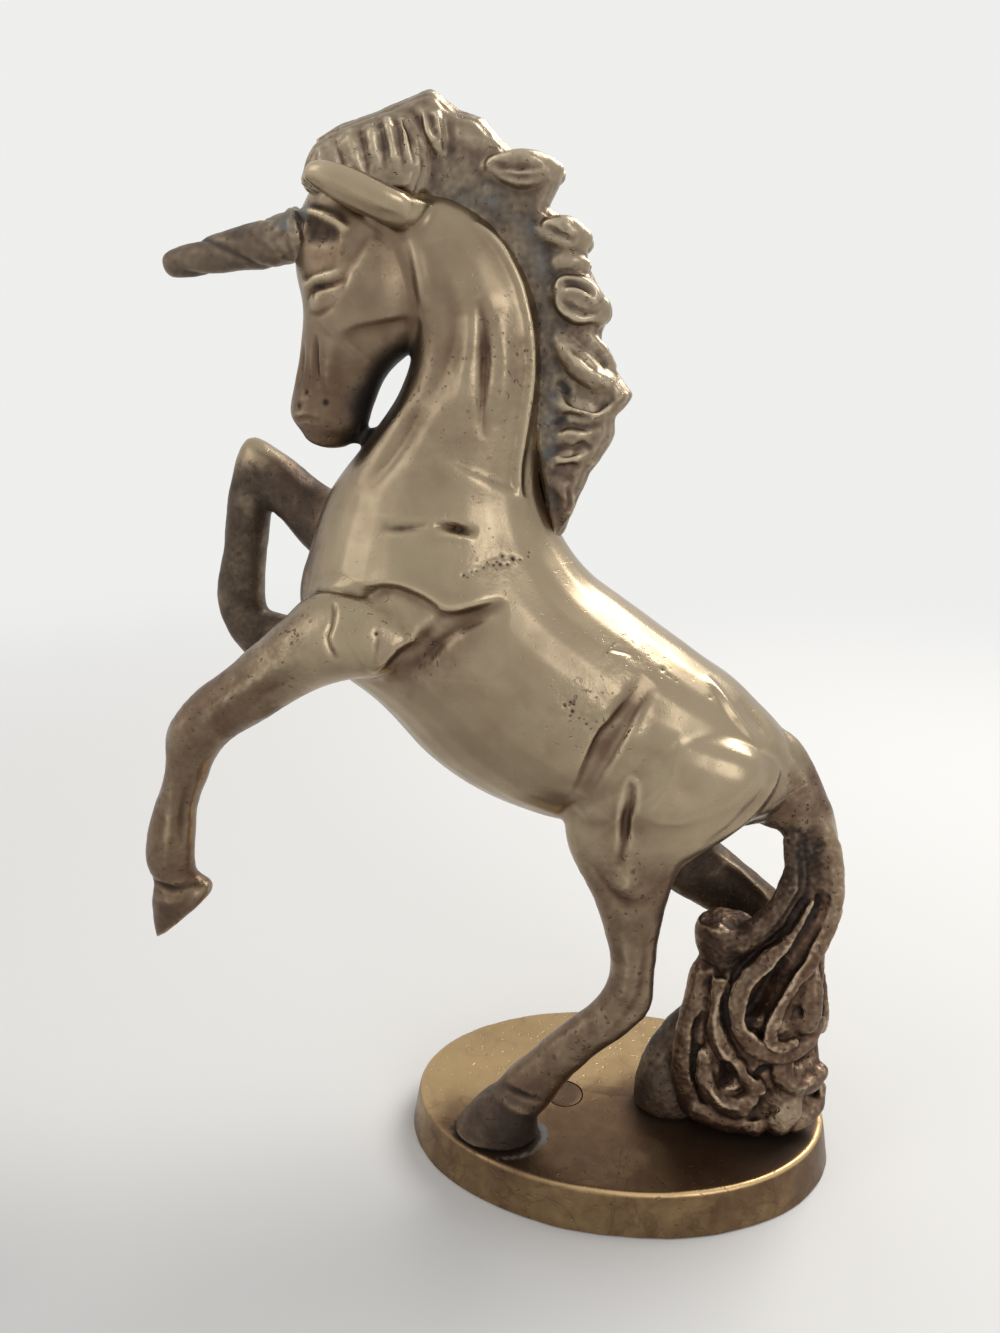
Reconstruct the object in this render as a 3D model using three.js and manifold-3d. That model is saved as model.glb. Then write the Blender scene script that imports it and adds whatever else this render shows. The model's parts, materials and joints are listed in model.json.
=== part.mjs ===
// A rearing brass unicorn on an oval base plate. The figure is brazed together from separate sand
// castings that seat on each other with round spigots, and two screws hold it to the plate from below.
// Millimetres, +Z up. The head looks along -X, the figure's near side faces -Y, and the heights in the
// section lists are measured from the top face of the base plate.
import * as THREE from 'three';
import { mergeVertices } from 'three/addons/utils/BufferGeometryUtils.js';
import Module from 'manifold-3d';

const wasm = await Module();
wasm.setup();

// Driving dimensions of the base plate
const baseLength = 123;
const baseWidth = 80;
const baseThickness = 13;
const baseFlare = 2;
const baseEdgeRadius = 1.5;
const baseMiddleX = -1;
const rimWall = 5;
const topWall = 7;
const plugDiameter = 11;
const plugX = -17;
const plugY = -3;

// Driving dimensions of the fastenings
const screwDiameter = 4;
const screwHeadDiameter = 7;
const screwHeadHeight = 2.4;
const slotWidth = 1;
const slotDepth = 1;
const washerDiameter = 9;
const washerThickness = 1;
const hoofScrewDepth = 8;
const tailScrewDepth = 14;

// Driving dimensions of the figure's joints
const jointGap = 0.3;
const neckSpigotDiameter = 16;
const loinSpigotDiameter = 18;
const shoulderSpigotDiameter = 8;
const gaskinSpigotDiameter = 8;
const tailSpigotDiameter = 7;
const maneKeyDiameter = 5;
const maneKeyDepth = 2;
const spigotLength = 7;

// Driving dimensions of the horn
const hornLength = 36;
const hornRootDiameter = 11;
const hornTipDiameter = 4.6;
const hornCollarDiameter = 14;
const hornCollarWidth = 3;
const hornBuried = 6;
const hornSwell = 0.5;
const hornSpigotDiameter = 5;

// Neck, barrel and croup in one flowing skin, from the poll to the buttocks. A section reads
// [front x, front z, back x, back z, side y, half width].
const trunkSections = [
  [-74, 244, -55, 256, 0, 8],
  [-67, 238, -44, 252, 0, 10.5],
  [-62, 229, -34, 244, 0, 12],
  [-59.5, 218, -27, 231, 0, 13],
  [-64.5, 206, -25, 216, 0, 14],
  [-73, 195, -26, 201, 0, 15.5],
  [-82, 184, -26, 187, 0, 18],
  [-88, 170, -22, 174, 0, 21.5],
  [-92, 154, -14, 163, 0, 25],
  [-86, 138, -5, 156, 0, 26.5],
  [-72, 127, 5, 149, 0, 27.5],
  [-58, 112, 15, 142, 0, 28],
  [-44, 102, 24, 136, 0, 27],
  [-32, 97, 31, 130, 0, 25],
  [-20, 94, 38, 123, 0, 23],
  [-5, 92, 43, 115, 0, 19],
  [9, 92, 44, 106, 0, 14],
  [20, 94, 41, 100, 0, 8],
];

// Head, from the forehead down to the lips
const headSections = [
  [-83, 257, -60, 255, 0, 7],
  [-88, 248, -55, 247, 0, 10.5],
  [-88.5, 238, -53, 233, 0, 12.5],
  [-87, 229, -56, 222, 0, 12],
  [-88.5, 219, -66, 213, 0, 9.5],
  [-90.5, 210, -70, 205, 0, 8],
  [-92, 203, -72, 199.5, 0, 7.8],
  [-89, 198, -76, 196, 0, 5.5],
];

// Ear, from its root to its tip, on the near side
const earSections = [
  [-54, 243, -49, 250, -9, 3.4],
  [-62, 244.5, -58, 253, -12, 3.6],
  [-70.5, 249, -66.5, 257, -13.5, 3.2],
  [-77.5, 255, -75, 260.5, -14, 2.2],
  [-82.5, 260.5, -81.5, 262.5, -14, 0.8],
];

// Near foreleg, from inside the chest to the sole of the raised hoof
const nearForelegSections = [
  [-52, 158, -46, 146, -6, 6],
  [-70, 165, -50, 145, -14, 11],
  [-83, 160, -58, 139, -18.5, 12],
  [-91, 152.5, -72, 138, -20.5, 10.5],
  [-98, 146.5, -84, 134, -21, 8.6],
  [-107, 139, -96, 126, -21, 7.5],
  [-117, 131.5, -106, 120, -21, 7],
  [-124, 122, -112, 113.5, -21, 6.6],
  [-126, 110, -115.5, 106, -21, 5.8],
  [-129.5, 101, -118.5, 99, -21, 5.2],
  [-133, 92, -120, 90.5, -21, 5],
  [-134.5, 83, -121, 82, -21, 5.4],
  [-133, 75, -120.5, 78, -21, 5.2],
  [-134.5, 69, -116.5, 75, -21, 6.3],
  [-134, 57.5, -117, 72, -21, 6.6],
];

// Far foreleg, folded at the knee
const farForelegSections = [
  [-66, 176, -70, 150, 10, 9],
  [-84, 180, -86, 157, 16, 9.5],
  [-93, 183.5, -96, 163.5, 20, 8.5],
  [-102, 190.5, -103, 171.5, 21, 7.5],
  [-113, 195, -107.5, 174, 22, 6.8],
  [-119.5, 180, -108.5, 168, 22, 6.2],
  [-122.5, 163, -110.5, 157, 22, 5.6],
  [-126, 149, -111, 145, 22, 5.6],
  [-123, 137, -108, 143.5, 21.5, 5.6],
  [-115, 128, -103.5, 142.5, 21, 6.2],
  [-102, 122, -93, 138.5, 20.5, 6.6],
];

// Near hind leg, from inside the croup to below the sole
const nearHindLegSections = [
  [10, 138, 32, 124, -5, 5],
  [-5, 131, 38, 114, -12, 11],
  [-15, 115, 32, 103, -15, 12.5],
  [-18, 102, 23, 95, -16, 11.5],
  [-16.5, 91, 14, 88, -17, 9.5],
  [-10.5, 80, 10.5, 78, -18, 8],
  [-6.5, 68, 8.5, 66, -18.5, 6.6],
  [-4.5, 57, 8, 55, -19, 5.8],
  [-6.5, 48, 7, 45, -19, 5.4],
  [-12.5, 41, 1, 37, -19.5, 5],
  [-19.5, 34.5, -8.5, 28, -20, 4.8],
  [-26.5, 27, -15.5, 19, -20.5, 5],
  [-32, 21.5, -20, 12, -21, 5.8],
  [-36, 16, -23, 9, -21.5, 6.6],
  [-42, 10.5, -23.5, 6, -21.5, 8],
  [-47.5, 2.5, -23.5, 1.5, -21.5, 8.6],
  [-48, -2, -23.5, -2, -21.5, 8.7],
];

// Far hind leg, with its hock behind the tail
const farHindLegSections = [
  [10, 136, 32, 122, 5, 5],
  [-5, 126, 36, 112, 12, 11],
  [-10, 106, 32, 100, 15, 12],
  [-7, 88, 27, 91, 16, 11],
  [6, 68, 25, 80.5, 17, 9],
  [20, 58, 32, 73.5, 17, 7.5],
  [32, 52, 41, 66.5, 17, 6.2],
  [37, 47.5, 50, 57.5, 16, 5.6],
  [34.5, 44.5, 48, 48.5, 15, 5.3],
  [30, 38.5, 41, 35.5, 12.5, 5],
  [23, 31, 33, 26.5, 8.5, 5],
  [15, 26, 27.5, 20, 4.5, 5.8],
  [9.5, 20, 24, 13, 1, 6.8],
  [5.5, 13, 24, 9, -1.5, 8],
  [4, 4, 25, 3, -2.5, 9],
  [4.5, -2, 25, -2, -2.5, 9],
];

// Web under the chin, left from the mould. Its rows, and those of the locks, read [x, y, z, half width].
const chinWeb = [[-79, 0, 198, 2.4], [-73, 0, 197, 2.2], [-66, 0, 198, 2.6]];

// Mane: a thick core along the neck, from the forelock to the withers
const maneSections = [
  [-78, 250, -86, 256, 0, 3.6],
  [-72, 250, -80, 262, 0, 5],
  [-62, 250, -68, 266, 0, 6],
  [-52, 249, -53.5, 269, 0, 6.4],
  [-43, 245, -41, 264, 0, 6.2],
  [-38, 238, -29.5, 254, 0, 6],
  [-34, 229, -21, 240, 0, 5.8],
  [-31, 217, -16, 226, 0, 5.8],
  [-31, 204, -15, 210, 0, 5.8],
  [-32, 191, -15, 196, 0, 5.4],
  [-30, 180, -18, 184.5, 0, 4.6],
  [-25, 170, -19.5, 173.5, 0, 2.8],
];

// Outline of the mane's thin web as the side view shows it, in x and z
const maneWebHalfWidth = 2.6;
const maneOutline = [
  [-82, 252], [-85, 254.5], [-86, 257.5], [-84.8, 261.5], [-82, 266.5], [-76, 269.5], [-70, 271.3],
  [-63, 273.6], [-56, 276], [-53, 276.6], [-50.5, 275], [-47, 272], [-41, 270.4], [-37.2, 266], [-34, 263.2],
  [-28.8, 262], [-24, 260],
  [-22, 258], [-24, 255.8], [-26.6, 253.5], [-25.6, 251], [-21.3, 248.5], [-17.5, 246], [-16, 243],
  [-16.2, 239], [-13.8, 234], [-11.2, 230], [-10.4, 226.5], [-12, 222.3], [-12, 218.5], [-9, 213],
  [-5.5, 210], [-3.8, 207.8], [-5, 205.8], [-8.4, 202.6], [-8, 198.5], [-10.6, 193.5], [-14, 188.8],
  [-15.7, 184.5], [-18.8, 178], [-20.5, 173], [-24, 171], [-31, 182], [-33, 197], [-33, 213], [-36, 227],
  [-43, 239], [-54, 248], [-73, 249],
];

// Tail: root, bend and the heavy mass of hair that stands on the base plate
const tailSections = [
  [34, 124, 24, 104, 0, 7],
  [44, 118, 33, 95, 0, 7.5],
  [52, 104, 41, 91, 0, 7],
  [56, 91, 43.5, 82, -1, 6],
  [57.4, 76, 42.5, 71, -2, 6],
  [56, 65, 37, 62, -3, 6.4],
  [54, 56, 28.5, 54, -4, 7.2],
  [53, 46, 24, 44, -5, 8],
  [54.5, 36, 21.5, 34, -5, 8.8],
  [56.5, 22, 20, 20, -5, 9.4],
  [56.5, 10, 20, 8, -4, 9.6],
  [54.5, -2, 21, -2, -3, 9.2],
];

// Locks of the mane on the near side: from the leaf behind the ear down to the withers, then the crest's
const maneLocks = [
  [[-42, -6.5, 257.8, 2.4], [-36, -7.6, 258, 4.2], [-29, -7, 257.9, 4.5], [-23.5, -3, 257.8, 2.6]],
  [[-30, -7, 245, 2.2], [-25.5, -8, 244.8, 3.6], [-20.5, -6.5, 243.6, 3.5], [-17, -2.6, 242.8, 2]],
  [[-25, -6.6, 238, 2], [-19.5, -7, 237.2, 2.2], [-16.5, -3, 237.8, 1.4]],
  [[-24.5, -7, 229.5, 2], [-21, -8, 233.6, 2.4], [-14.8, -8, 233.4, 2.5], [-11.6, -7, 228, 2.4],
    [-15.5, -8, 224.4, 2.3], [-21.4, -8, 226, 2]],
  [[-19.6, -8.4, 229.8, 1.8], [-16.4, -8.8, 230.2, 2.2], [-13.6, -7.6, 228.6, 1.6]],
  [[-23, -7, 222.5, 2.3], [-18.4, -8.5, 217, 2.7], [-11, -6.4, 211.6, 2.6], [-3.4, -0.6, 208.2, 1]],
  [[-22, -7, 212.5, 2.3], [-16.6, -8, 206.4, 2.6], [-9.6, -5.2, 204.6, 2], [-3.8, -0.6, 207, 0.9]],
  [[-26, -7, 195.4, 2.3], [-19.5, -8, 198, 3], [-12.5, -5, 198, 2.5], [-8.8, -1, 198.2, 1.4]],
  [[-25, -7.4, 190.6, 2.3], [-19, -7.6, 192.2, 2.7], [-12.4, -2.6, 192.6, 1.6]],
  [[-26, -6.6, 185.4, 2.2], [-20.5, -7, 186.6, 2.6], [-15.6, -2, 186.2, 1.6]],
  [[-26, -6.2, 181, 2], [-22.6, -5.6, 177.4, 2], [-20.8, -2, 174, 1.2]],
  [[-53.2, -3, 274.4, 1.8], [-52.7, -6.6, 269, 2.2], [-52.2, -8, 262.6, 2.5]],
  [[-57.4, -3, 273.2, 1.5], [-55.6, -6.4, 267.6, 1.8], [-54.8, -7.4, 261.6, 1.8]],
  [[-68, -2.8, 270, 1.5], [-64.6, -6, 264, 1.8], [-62, -7.2, 257, 1.8]],
  [[-76, -6, 252, 2.4], [-79.6, -5.6, 258, 2.6], [-82.4, -2.6, 263.2, 1.6]],
];

// Locks of the tail: its long strands, the curls at its foot, and the column that stands in front
const tailLocks = [
  [[45, -2, 106, 2.6], [51, -3, 96, 2.8], [55, -3.5, 85, 2.6], [56.4, -4, 74, 2.4], [54.6, -6, 64, 2]],
  [[50, -6, 93, 2], [53.4, -7.5, 82, 2.4], [52.6, -9, 72, 2.7], [49.4, -11, 64, 2.7],
    [44.6, -12.6, 56, 2.5], [39.6, -14.4, 46, 2.2], [39, -16, 36, 2], [42.8, -16, 32, 2.2],
    [46.4, -15.4, 34, 1.8]],
  [[46.6, -7.5, 72, 1.8], [42.4, -10, 63.4, 2.2], [37, -12, 56, 2.6], [31.4, -13.8, 48, 3],
    [30.6, -14.6, 40, 3.2], [34, -15.8, 33, 3.2], [40, -16.2, 28.4, 3], [48, -15, 29.2, 2.6],
    [55, -10, 37, 2], [56.4, -7, 42, 1.4]],
  [[45.6, -5, 91, 2], [46, -6.4, 82, 2.3], [43, -7.6, 72.6, 2.5], [37.6, -8.6, 64.4, 2.6], [31.6, -9.4, 58, 2.4],
    [25.6, -10, 55, 2.2]],
  [[54.6, -3, 59, 0.9], [53.6, -5.4, 51, 2.2], [52.4, -8.6, 44, 3], [52.6, -10, 37, 2.8]],
  [[27, -12, 49, 1.7], [25.8, -13, 38, 1.9], [28.4, -14.6, 29, 2.1], [34.6, -16.4, 20, 2.4],
    [35.4, -16.6, 13.6, 2.5], [29, -15.8, 11.6, 2.3], [25, -15, 16, 2], [24.2, -14.6, 23, 1.7]],
  [[43, -15.4, 26.6, 1.9], [47, -14.4, 20.8, 2.4], [54, -11.4, 18.6, 2.3], [57.4, -8.2, 22.6, 2],
    [57, -6, 32, 1.5]],
  [[44.4, -15.6, 20, 2], [47.2, -15.2, 14, 2.7], [45.4, -15, 8.4, 3], [39, -15, 4.4, 2.8], [29, -13.6, 6.2, 2.5]],
  [[48, -12, 3.4, 2.6], [54, -9.6, 5.6, 2.6], [57, -7, 12, 2]],
  [[28, -8, 48, 4.4], [28, -9.4, 34, 5], [30, -10.4, 20, 5.6], [31, -9.6, 7, 5.6]],
  [[19, -7.6, 36, 3], [18.8, -8.6, 26, 3.2], [19, -8.4, 15, 3.4], [20.4, -8, 5, 3.6]],
  [[19.6, -6.6, 29, 3.4], [22, -6.4, 40, 4.4], [24, -5, 50, 5], [24.8, -5, 60, 5.4], [25, -5, 66, 5.6]],
];

// Seams between the castings: a point on the seam and the way that the upper piece lies
const neckSeam = { at: [-55, 0, 172], toward: [0.15, 0, 1] };
const loinSeam = { at: [-7, 0, 120], toward: [-0.84, 0, 0.54] };
const nearStifleSeam = { at: [-1, -17, 90], toward: [0.1, 0, 1] };
const farStifleSeam = { at: [12, 16, 84], toward: [-0.55, 0, 0.83] };

// Where the screws pass up through the plate into the near hoof and the foot of the tail
const hoofScrewPlace = [-31, -20];
const tailScrewPlace = [42, -4];

const vector = ([x, y, z]) => new THREE.Vector3(x, y, z);
const sideways = new THREE.Vector3(0, 1, 0);

// A closed skin over a row of rings with equal numbers of points
function skin(rings) {
  const around = rings[0].length;
  const positions = rings.flat().flatMap((point) => point.toArray());
  const faces = [];
  for (let ring = 0; ring < rings.length - 1; ring += 1) {
    for (let step = 0; step < around; step += 1) {
      const next = (step + 1) % around;
      const here = ring * around;
      const there = here + around;
      faces.push(here + step, here + next, there + next);
      faces.push(here + step, there + next, there + step);
    }
  }
  const closeEnd = (ring, outward) => {
    const middle = new THREE.Vector3();
    rings[ring].forEach((point) => middle.addScaledVector(point, 1 / around));
    const tip = positions.length / 3;
    positions.push(...middle.toArray());
    for (let step = 0; step < around; step += 1) {
      const first = ring * around + step;
      const second = ring * around + ((step + 1) % around);
      faces.push(tip, outward ? first : second, outward ? second : first);
    }
  };
  closeEnd(0, false);
  closeEnd(rings.length - 1, true);
  const geometry = new THREE.BufferGeometry();
  geometry.setAttribute('position', new THREE.Float32BufferAttribute(positions, 3));
  geometry.setIndex(faces);
  return geometry;
}

// A solid that can be joined and cut, from any closed geometry
function solid(geometry) {
  const bare = geometry.clone();
  bare.deleteAttribute('normal');
  bare.deleteAttribute('uv');
  const merged = mergeVertices(bare, 1e-4);
  return new wasm.Manifold(new wasm.Mesh({
    numProp: 3,
    vertProperties: new Float32Array(merged.attributes.position.array),
    triVerts: new Uint32Array(merged.index.array),
  }));
}

// A rounded end: smaller and smaller copies of the last ring, pushed outward by up to a given length.
// The rings of the end lie at these turns of a quarter circle, in degrees.
const endTurns = [30, 55, 75];
function roundedEnd(ring, outward, length) {
  const middle = new THREE.Vector3();
  ring.forEach((point) => middle.addScaledVector(point, 1 / ring.length));
  return endTurns.map((degrees) => {
    const turn = THREE.MathUtils.degToRad(degrees);
    return ring.map((point) => point.clone()
      .sub(middle)
      .multiplyScalar(Math.cos(turn))
      .add(middle)
      .addScaledVector(outward, length * Math.sin(turn)));
  });
}

// A casting's skin through oval sections, grown outward where it has to clear a neighbour
function loft(sections, { grow = 0, around = 12, perSection = 2, startRound = 0, endRound = 0 } = {}) {
  const front = new THREE.CatmullRomCurve3(sections.map(([x, z]) => new THREE.Vector3(x, 0, z)));
  const back = new THREE.CatmullRomCurve3(sections.map(([, , x, z]) => new THREE.Vector3(x, 0, z)));
  const side = new THREE.CatmullRomCurve3(sections.map(([, , , , y, half]) => new THREE.Vector3(y, half, 0)));
  const count = (sections.length - 1) * perSection;
  const stations = [];
  for (let index = 0; index <= count; index += 1) {
    const at = index / count;
    const from = front.getPoint(at);
    const to = back.getPoint(at);
    const arm = from.clone().sub(to).multiplyScalar(0.5);
    const place = side.getPoint(at);
    const middle = from.add(to).multiplyScalar(0.5).setY(place.x);
    arm.setLength(arm.length() + grow);
    stations.push({ middle, arm, half: place.y + grow });
  }
  const travel = stations[1].middle.clone().sub(stations[0].middle);
  const sense = Math.sign(stations[0].arm.clone().cross(sideways).dot(travel));
  const rings = stations.map(({ middle, arm, half }) => {
    const ring = [];
    for (let step = 0; step < around; step += 1) {
      const turn = (2 * Math.PI * step) / around;
      ring.push(middle.clone()
        .addScaledVector(arm, Math.cos(turn))
        .addScaledVector(sideways, sense * half * Math.sin(turn)));
    }
    return ring;
  });
  const last = stations.length - 1;
  const startWay = stations[0].middle.clone().sub(stations[1].middle).normalize();
  const endWay = stations[last].middle.clone().sub(stations[last - 1].middle).normalize();
  const startRings = startRound > 0 ? roundedEnd(rings[0], startWay, startRound + grow).reverse() : [];
  const endRings = endRound > 0 ? roundedEnd(rings[last], endWay, endRound + grow) : [];
  return solid(skin([...startRings, ...rings, ...endRings]));
}

// A lock of hair: a tapering strand through its rows, flatter across the figure than along it
const lockFlatness = 0.85;
function lock(rows, { mirrored = false, around = 5 } = {}) {
  const flip = mirrored ? -1 : 1;
  const curve = new THREE.CatmullRomCurve3(rows.map(([x, y, z]) => new THREE.Vector3(x, flip * y, z)));
  const rings = rows.map(([x, y, z, half], index) => {
    const middle = new THREE.Vector3(x, flip * y, z);
    const way = curve.getTangent(index / (rows.length - 1));
    const arm = way.clone().cross(sideways).normalize();
    const across = arm.clone().cross(way);
    const ring = [];
    for (let step = 0; step < around; step += 1) {
      const turn = (2 * Math.PI * step) / around;
      ring.push(middle.clone()
        .addScaledVector(arm, half * Math.cos(turn))
        .addScaledVector(across, -half * lockFlatness * Math.sin(turn)));
    }
    return ring;
  });
  return solid(skin(rings));
}

// A flat plate with an outline in x and z, as far on both sides of the middle
function web(outline, halfWidth) {
  const shape = new THREE.Shape(outline.map(([x, z]) => new THREE.Vector2(x, z)));
  const geometry = new THREE.ExtrudeGeometry(shape, { depth: 2 * halfWidth, bevelEnabled: false });
  geometry.rotateX(Math.PI / 2);
  geometry.translate(0, halfWidth, 0);
  return solid(geometry);
}

// A round bar between two points
function bar(from, to, diameter, around = 20) {
  const start = vector(from);
  const way = vector(to).sub(start);
  const geometry = new THREE.CylinderGeometry(diameter / 2, diameter / 2, way.length(), around);
  geometry.translate(0, way.length() / 2, 0);
  geometry.applyQuaternion(new THREE.Quaternion().setFromUnitVectors(sideways, way.clone().normalize()));
  geometry.translate(start.x, start.y, start.z);
  return solid(geometry);
}

// Everything on the side of a seam that its arrow points to, beginning a little way past the seam
function beyond({ at, toward }, offset) {
  const reach = 600;
  const way = vector(toward).normalize();
  const geometry = new THREE.BoxGeometry(reach, reach, reach);
  geometry.translate(0, reach / 2, 0);
  geometry.applyQuaternion(new THREE.Quaternion().setFromUnitVectors(sideways, way));
  const place = vector(at).addScaledVector(way, offset);
  geometry.translate(place.x, place.y, place.z);
  return solid(geometry);
}

const opposite = ({ at, toward }) => ({ at, toward: toward.map((value) => -value) });
const joinAll = (solids) => solids.reduce((sum, piece) => sum.add(piece));
const halfGap = jointGap / 2;

// The near side of a seam keeps half of the gap and the far side the other half
const above = (piece, seam) => piece.intersect(beyond(seam, halfGap));
const below = (piece, seam) => piece.intersect(beyond(opposite(seam), halfGap));

// A point at some distance from a seam's point, along its arrow
function alongSeam({ at, toward }, distance) {
  return vector(at).addScaledVector(vector(toward).normalize(), distance).toArray();
}

// A spigot that crosses a seam from the piece above it, and the socket that takes it below
function spigot(seam, diameter) {
  return bar(alongSeam(seam, spigotLength), alongSeam(seam, -spigotLength), diameter);
}
function socket(seam, diameter) {
  const reach = spigotLength + jointGap;
  return bar(alongSeam(seam, reach), alongSeam(seam, -reach), diameter + 2 * jointGap);
}

// Trunk, head, ears and thighs, each also grown by the joint gap to clear what is brazed on to it
const mirrorSections = (sections) => sections.map(([a, b, c, d, y, half]) => [a, b, c, d, -y, half]);
const trunk = (grow) => loft(trunkSections, { grow, around: 20, endRound: 5 });
const headAndEars = (grow) => joinAll([
  loft(headSections, { grow, around: 14, startRound: 4, endRound: 3 }),
  loft(earSections, { grow, around: 8, endRound: 1 }),
  loft(mirrorSections(earSections), { grow, around: 8, endRound: 1 }),
  lock(chinWeb),
]);
const thighs = (grow) => joinAll([
  above(loft(nearHindLegSections, { grow }), nearStifleSeam),
  above(loft(farHindLegSections, { grow }), farStifleSeam),
]);
const grownTrunk = trunk(jointGap);
const grownHead = headAndEars(jointGap);
const grownThighs = thighs(jointGap);

// A rounded edge has one point in its middle, this share of its radius inside the corner
const edgeShare = 1 - Math.SQRT1_2;

// Horn: a blunt cone with a raised collar, turned about its own axis and set in the forehead
const hornRoot = [-86, -1.5, 245.5];
const hornWay = new THREE.Vector3(-0.98, -0.1, -0.2).normalize();
function makeHorn() {
  const root = hornRootDiameter / 2;
  const tip = hornTipDiameter / 2;
  const collar = hornCollarDiameter / 2;
  const profile = [
    new THREE.Vector2(0, -hornBuried),
    new THREE.Vector2(root, -hornBuried),
    new THREE.Vector2(root, -hornCollarWidth / 2),
    new THREE.Vector2(collar, -hornCollarWidth / 4),
    new THREE.Vector2(collar, hornCollarWidth / 2),
    new THREE.Vector2(root, hornCollarWidth),
    new THREE.Vector2((root + tip) / 2 + hornSwell, hornLength / 2),
    new THREE.Vector2(tip, hornLength - tip),
    new THREE.Vector2(tip * (1 - edgeShare), hornLength - tip * edgeShare),
    new THREE.Vector2(0, hornLength),
  ];
  const geometry = new THREE.LatheGeometry(profile, 20);
  geometry.applyQuaternion(new THREE.Quaternion().setFromUnitVectors(sideways, hornWay));
  geometry.translate(...hornRoot);
  return solid(geometry);
}

// The horn's pin, in the middle of the horn and in a socket that is deeper by the gap
const alongHorn = (distance) => vector(hornRoot).addScaledVector(hornWay, distance).toArray();
const hornPinInner = -hornBuried - spigotLength;
const hornPinOuter = hornLength / 4;
const hornPin = bar(alongHorn(hornPinInner), alongHorn(hornPinOuter), hornSpigotDiameter);
const hornSocket = bar(
  alongHorn(hornPinInner - jointGap), alongHorn(hornPinOuter), hornSpigotDiameter + 2 * jointGap);

const horn = makeHorn()
  .subtract(grownHead)
  .subtract(grownTrunk)
  .add(hornPin);

// Mane keys: short pins from the middle of some of the mane's sections into the crest of the neck
const keyedSections = [3, 7, 9];
const maneKeys = keyedSections.map((index) => {
  const [frontX, frontZ, backX, backZ] = maneSections[index];
  const front = new THREE.Vector3(frontX, 0, frontZ);
  const middle = new THREE.Vector3(backX, 0, backZ).add(front).divideScalar(2);
  const way = front.clone().sub(middle).normalize();
  return { from: middle.toArray(), to: front.addScaledVector(way, maneKeyDepth).toArray() };
});
const pastEnd = ({ from, to }, extra) => {
  const way = vector(to).sub(vector(from)).normalize();
  return vector(to).addScaledVector(way, extra).toArray();
};

const mane = joinAll([
  loft(maneSections, { around: 8, perSection: 1 }),
  web(maneOutline, maneWebHalfWidth),
  ...maneLocks.map((strand) => lock(strand)),
  ...maneLocks.map((strand) => lock(strand, { mirrored: true })),
])
  .subtract(grownTrunk)
  .subtract(grownHead)
  .add(joinAll(maneKeys.map((key) => bar(key.from, key.to, maneKeyDiameter, 12))));

const headAndNeck = above(trunk(0), neckSeam)
  .add(headAndEars(0))
  .subtract(hornSocket)
  .subtract(joinAll(maneKeys.map((key) => (
    bar(key.from, pastEnd(key, jointGap), maneKeyDiameter + 2 * jointGap, 12)))))
  .add(spigot(neckSeam, neckSpigotDiameter));

// Legs end on the skin of the casting that carries them, and a spigot goes on into it
const nearShoulder = { from: [-84, -20, 145], to: [-55, -11, 152] };
const farShoulder = { from: [-97, 20, 175], to: [-68, 10, 165] };
const shoulderPin = ({ from, to }) => bar(from, to, shoulderSpigotDiameter);
const shoulderSocket = (joint) => (
  bar(joint.from, pastEnd(joint, jointGap), shoulderSpigotDiameter + 2 * jointGap));

const nearForeleg = loft(nearForelegSections).subtract(grownTrunk).add(shoulderPin(nearShoulder));
const farForeleg = loft(farForelegSections).subtract(grownTrunk).add(shoulderPin(farShoulder));

const torso = above(below(trunk(0), neckSeam), loinSeam)
  .subtract(socket(neckSeam, neckSpigotDiameter))
  .subtract(shoulderSocket(nearShoulder))
  .subtract(shoulderSocket(farShoulder))
  .subtract(grownThighs)
  .add(spigot(loinSeam, loinSpigotDiameter));

const tailRoot = { from: [46, 0, 104], to: [28, 0, 112] };
const plateTop = { at: [0, 0, 0], toward: [0, 0, 1] };
const onPlate = (piece) => piece.intersect(beyond(plateTop, 0));

const hindquarters = below(trunk(0), loinSeam)
  .add(thighs(0))
  .subtract(socket(loinSeam, loinSpigotDiameter))
  .subtract(bar(tailRoot.from, pastEnd(tailRoot, jointGap), tailSpigotDiameter + 2 * jointGap))
  .add(spigot(nearStifleSeam, gaskinSpigotDiameter))
  .add(spigot(farStifleSeam, gaskinSpigotDiameter));

const screwHole = ([x, y], depth) => (
  bar([x, y, -1], [x, y, depth + jointGap], screwDiameter + 2 * jointGap, 16));

const hindLeg = (sections, seam) => onPlate(below(loft(sections), seam))
  .subtract(grownTrunk)
  .subtract(socket(seam, gaskinSpigotDiameter));
const nearHindLeg = hindLeg(nearHindLegSections, nearStifleSeam)
  .subtract(screwHole(hoofScrewPlace, hoofScrewDepth));
const farHindLeg = hindLeg(farHindLegSections, farStifleSeam);

const tail = onPlate(joinAll([
  loft(tailSections, { around: 12, perSection: 1 }),
  ...tailLocks.map((strand) => lock(strand)),
]))
  .subtract(grownTrunk)
  .subtract(grownThighs)
  .subtract(loft(farHindLegSections, { grow: jointGap }))
  .subtract(screwHole(tailScrewPlace, tailScrewDepth))
  .add(bar(tailRoot.from, tailRoot.to, tailSpigotDiameter));

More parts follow.
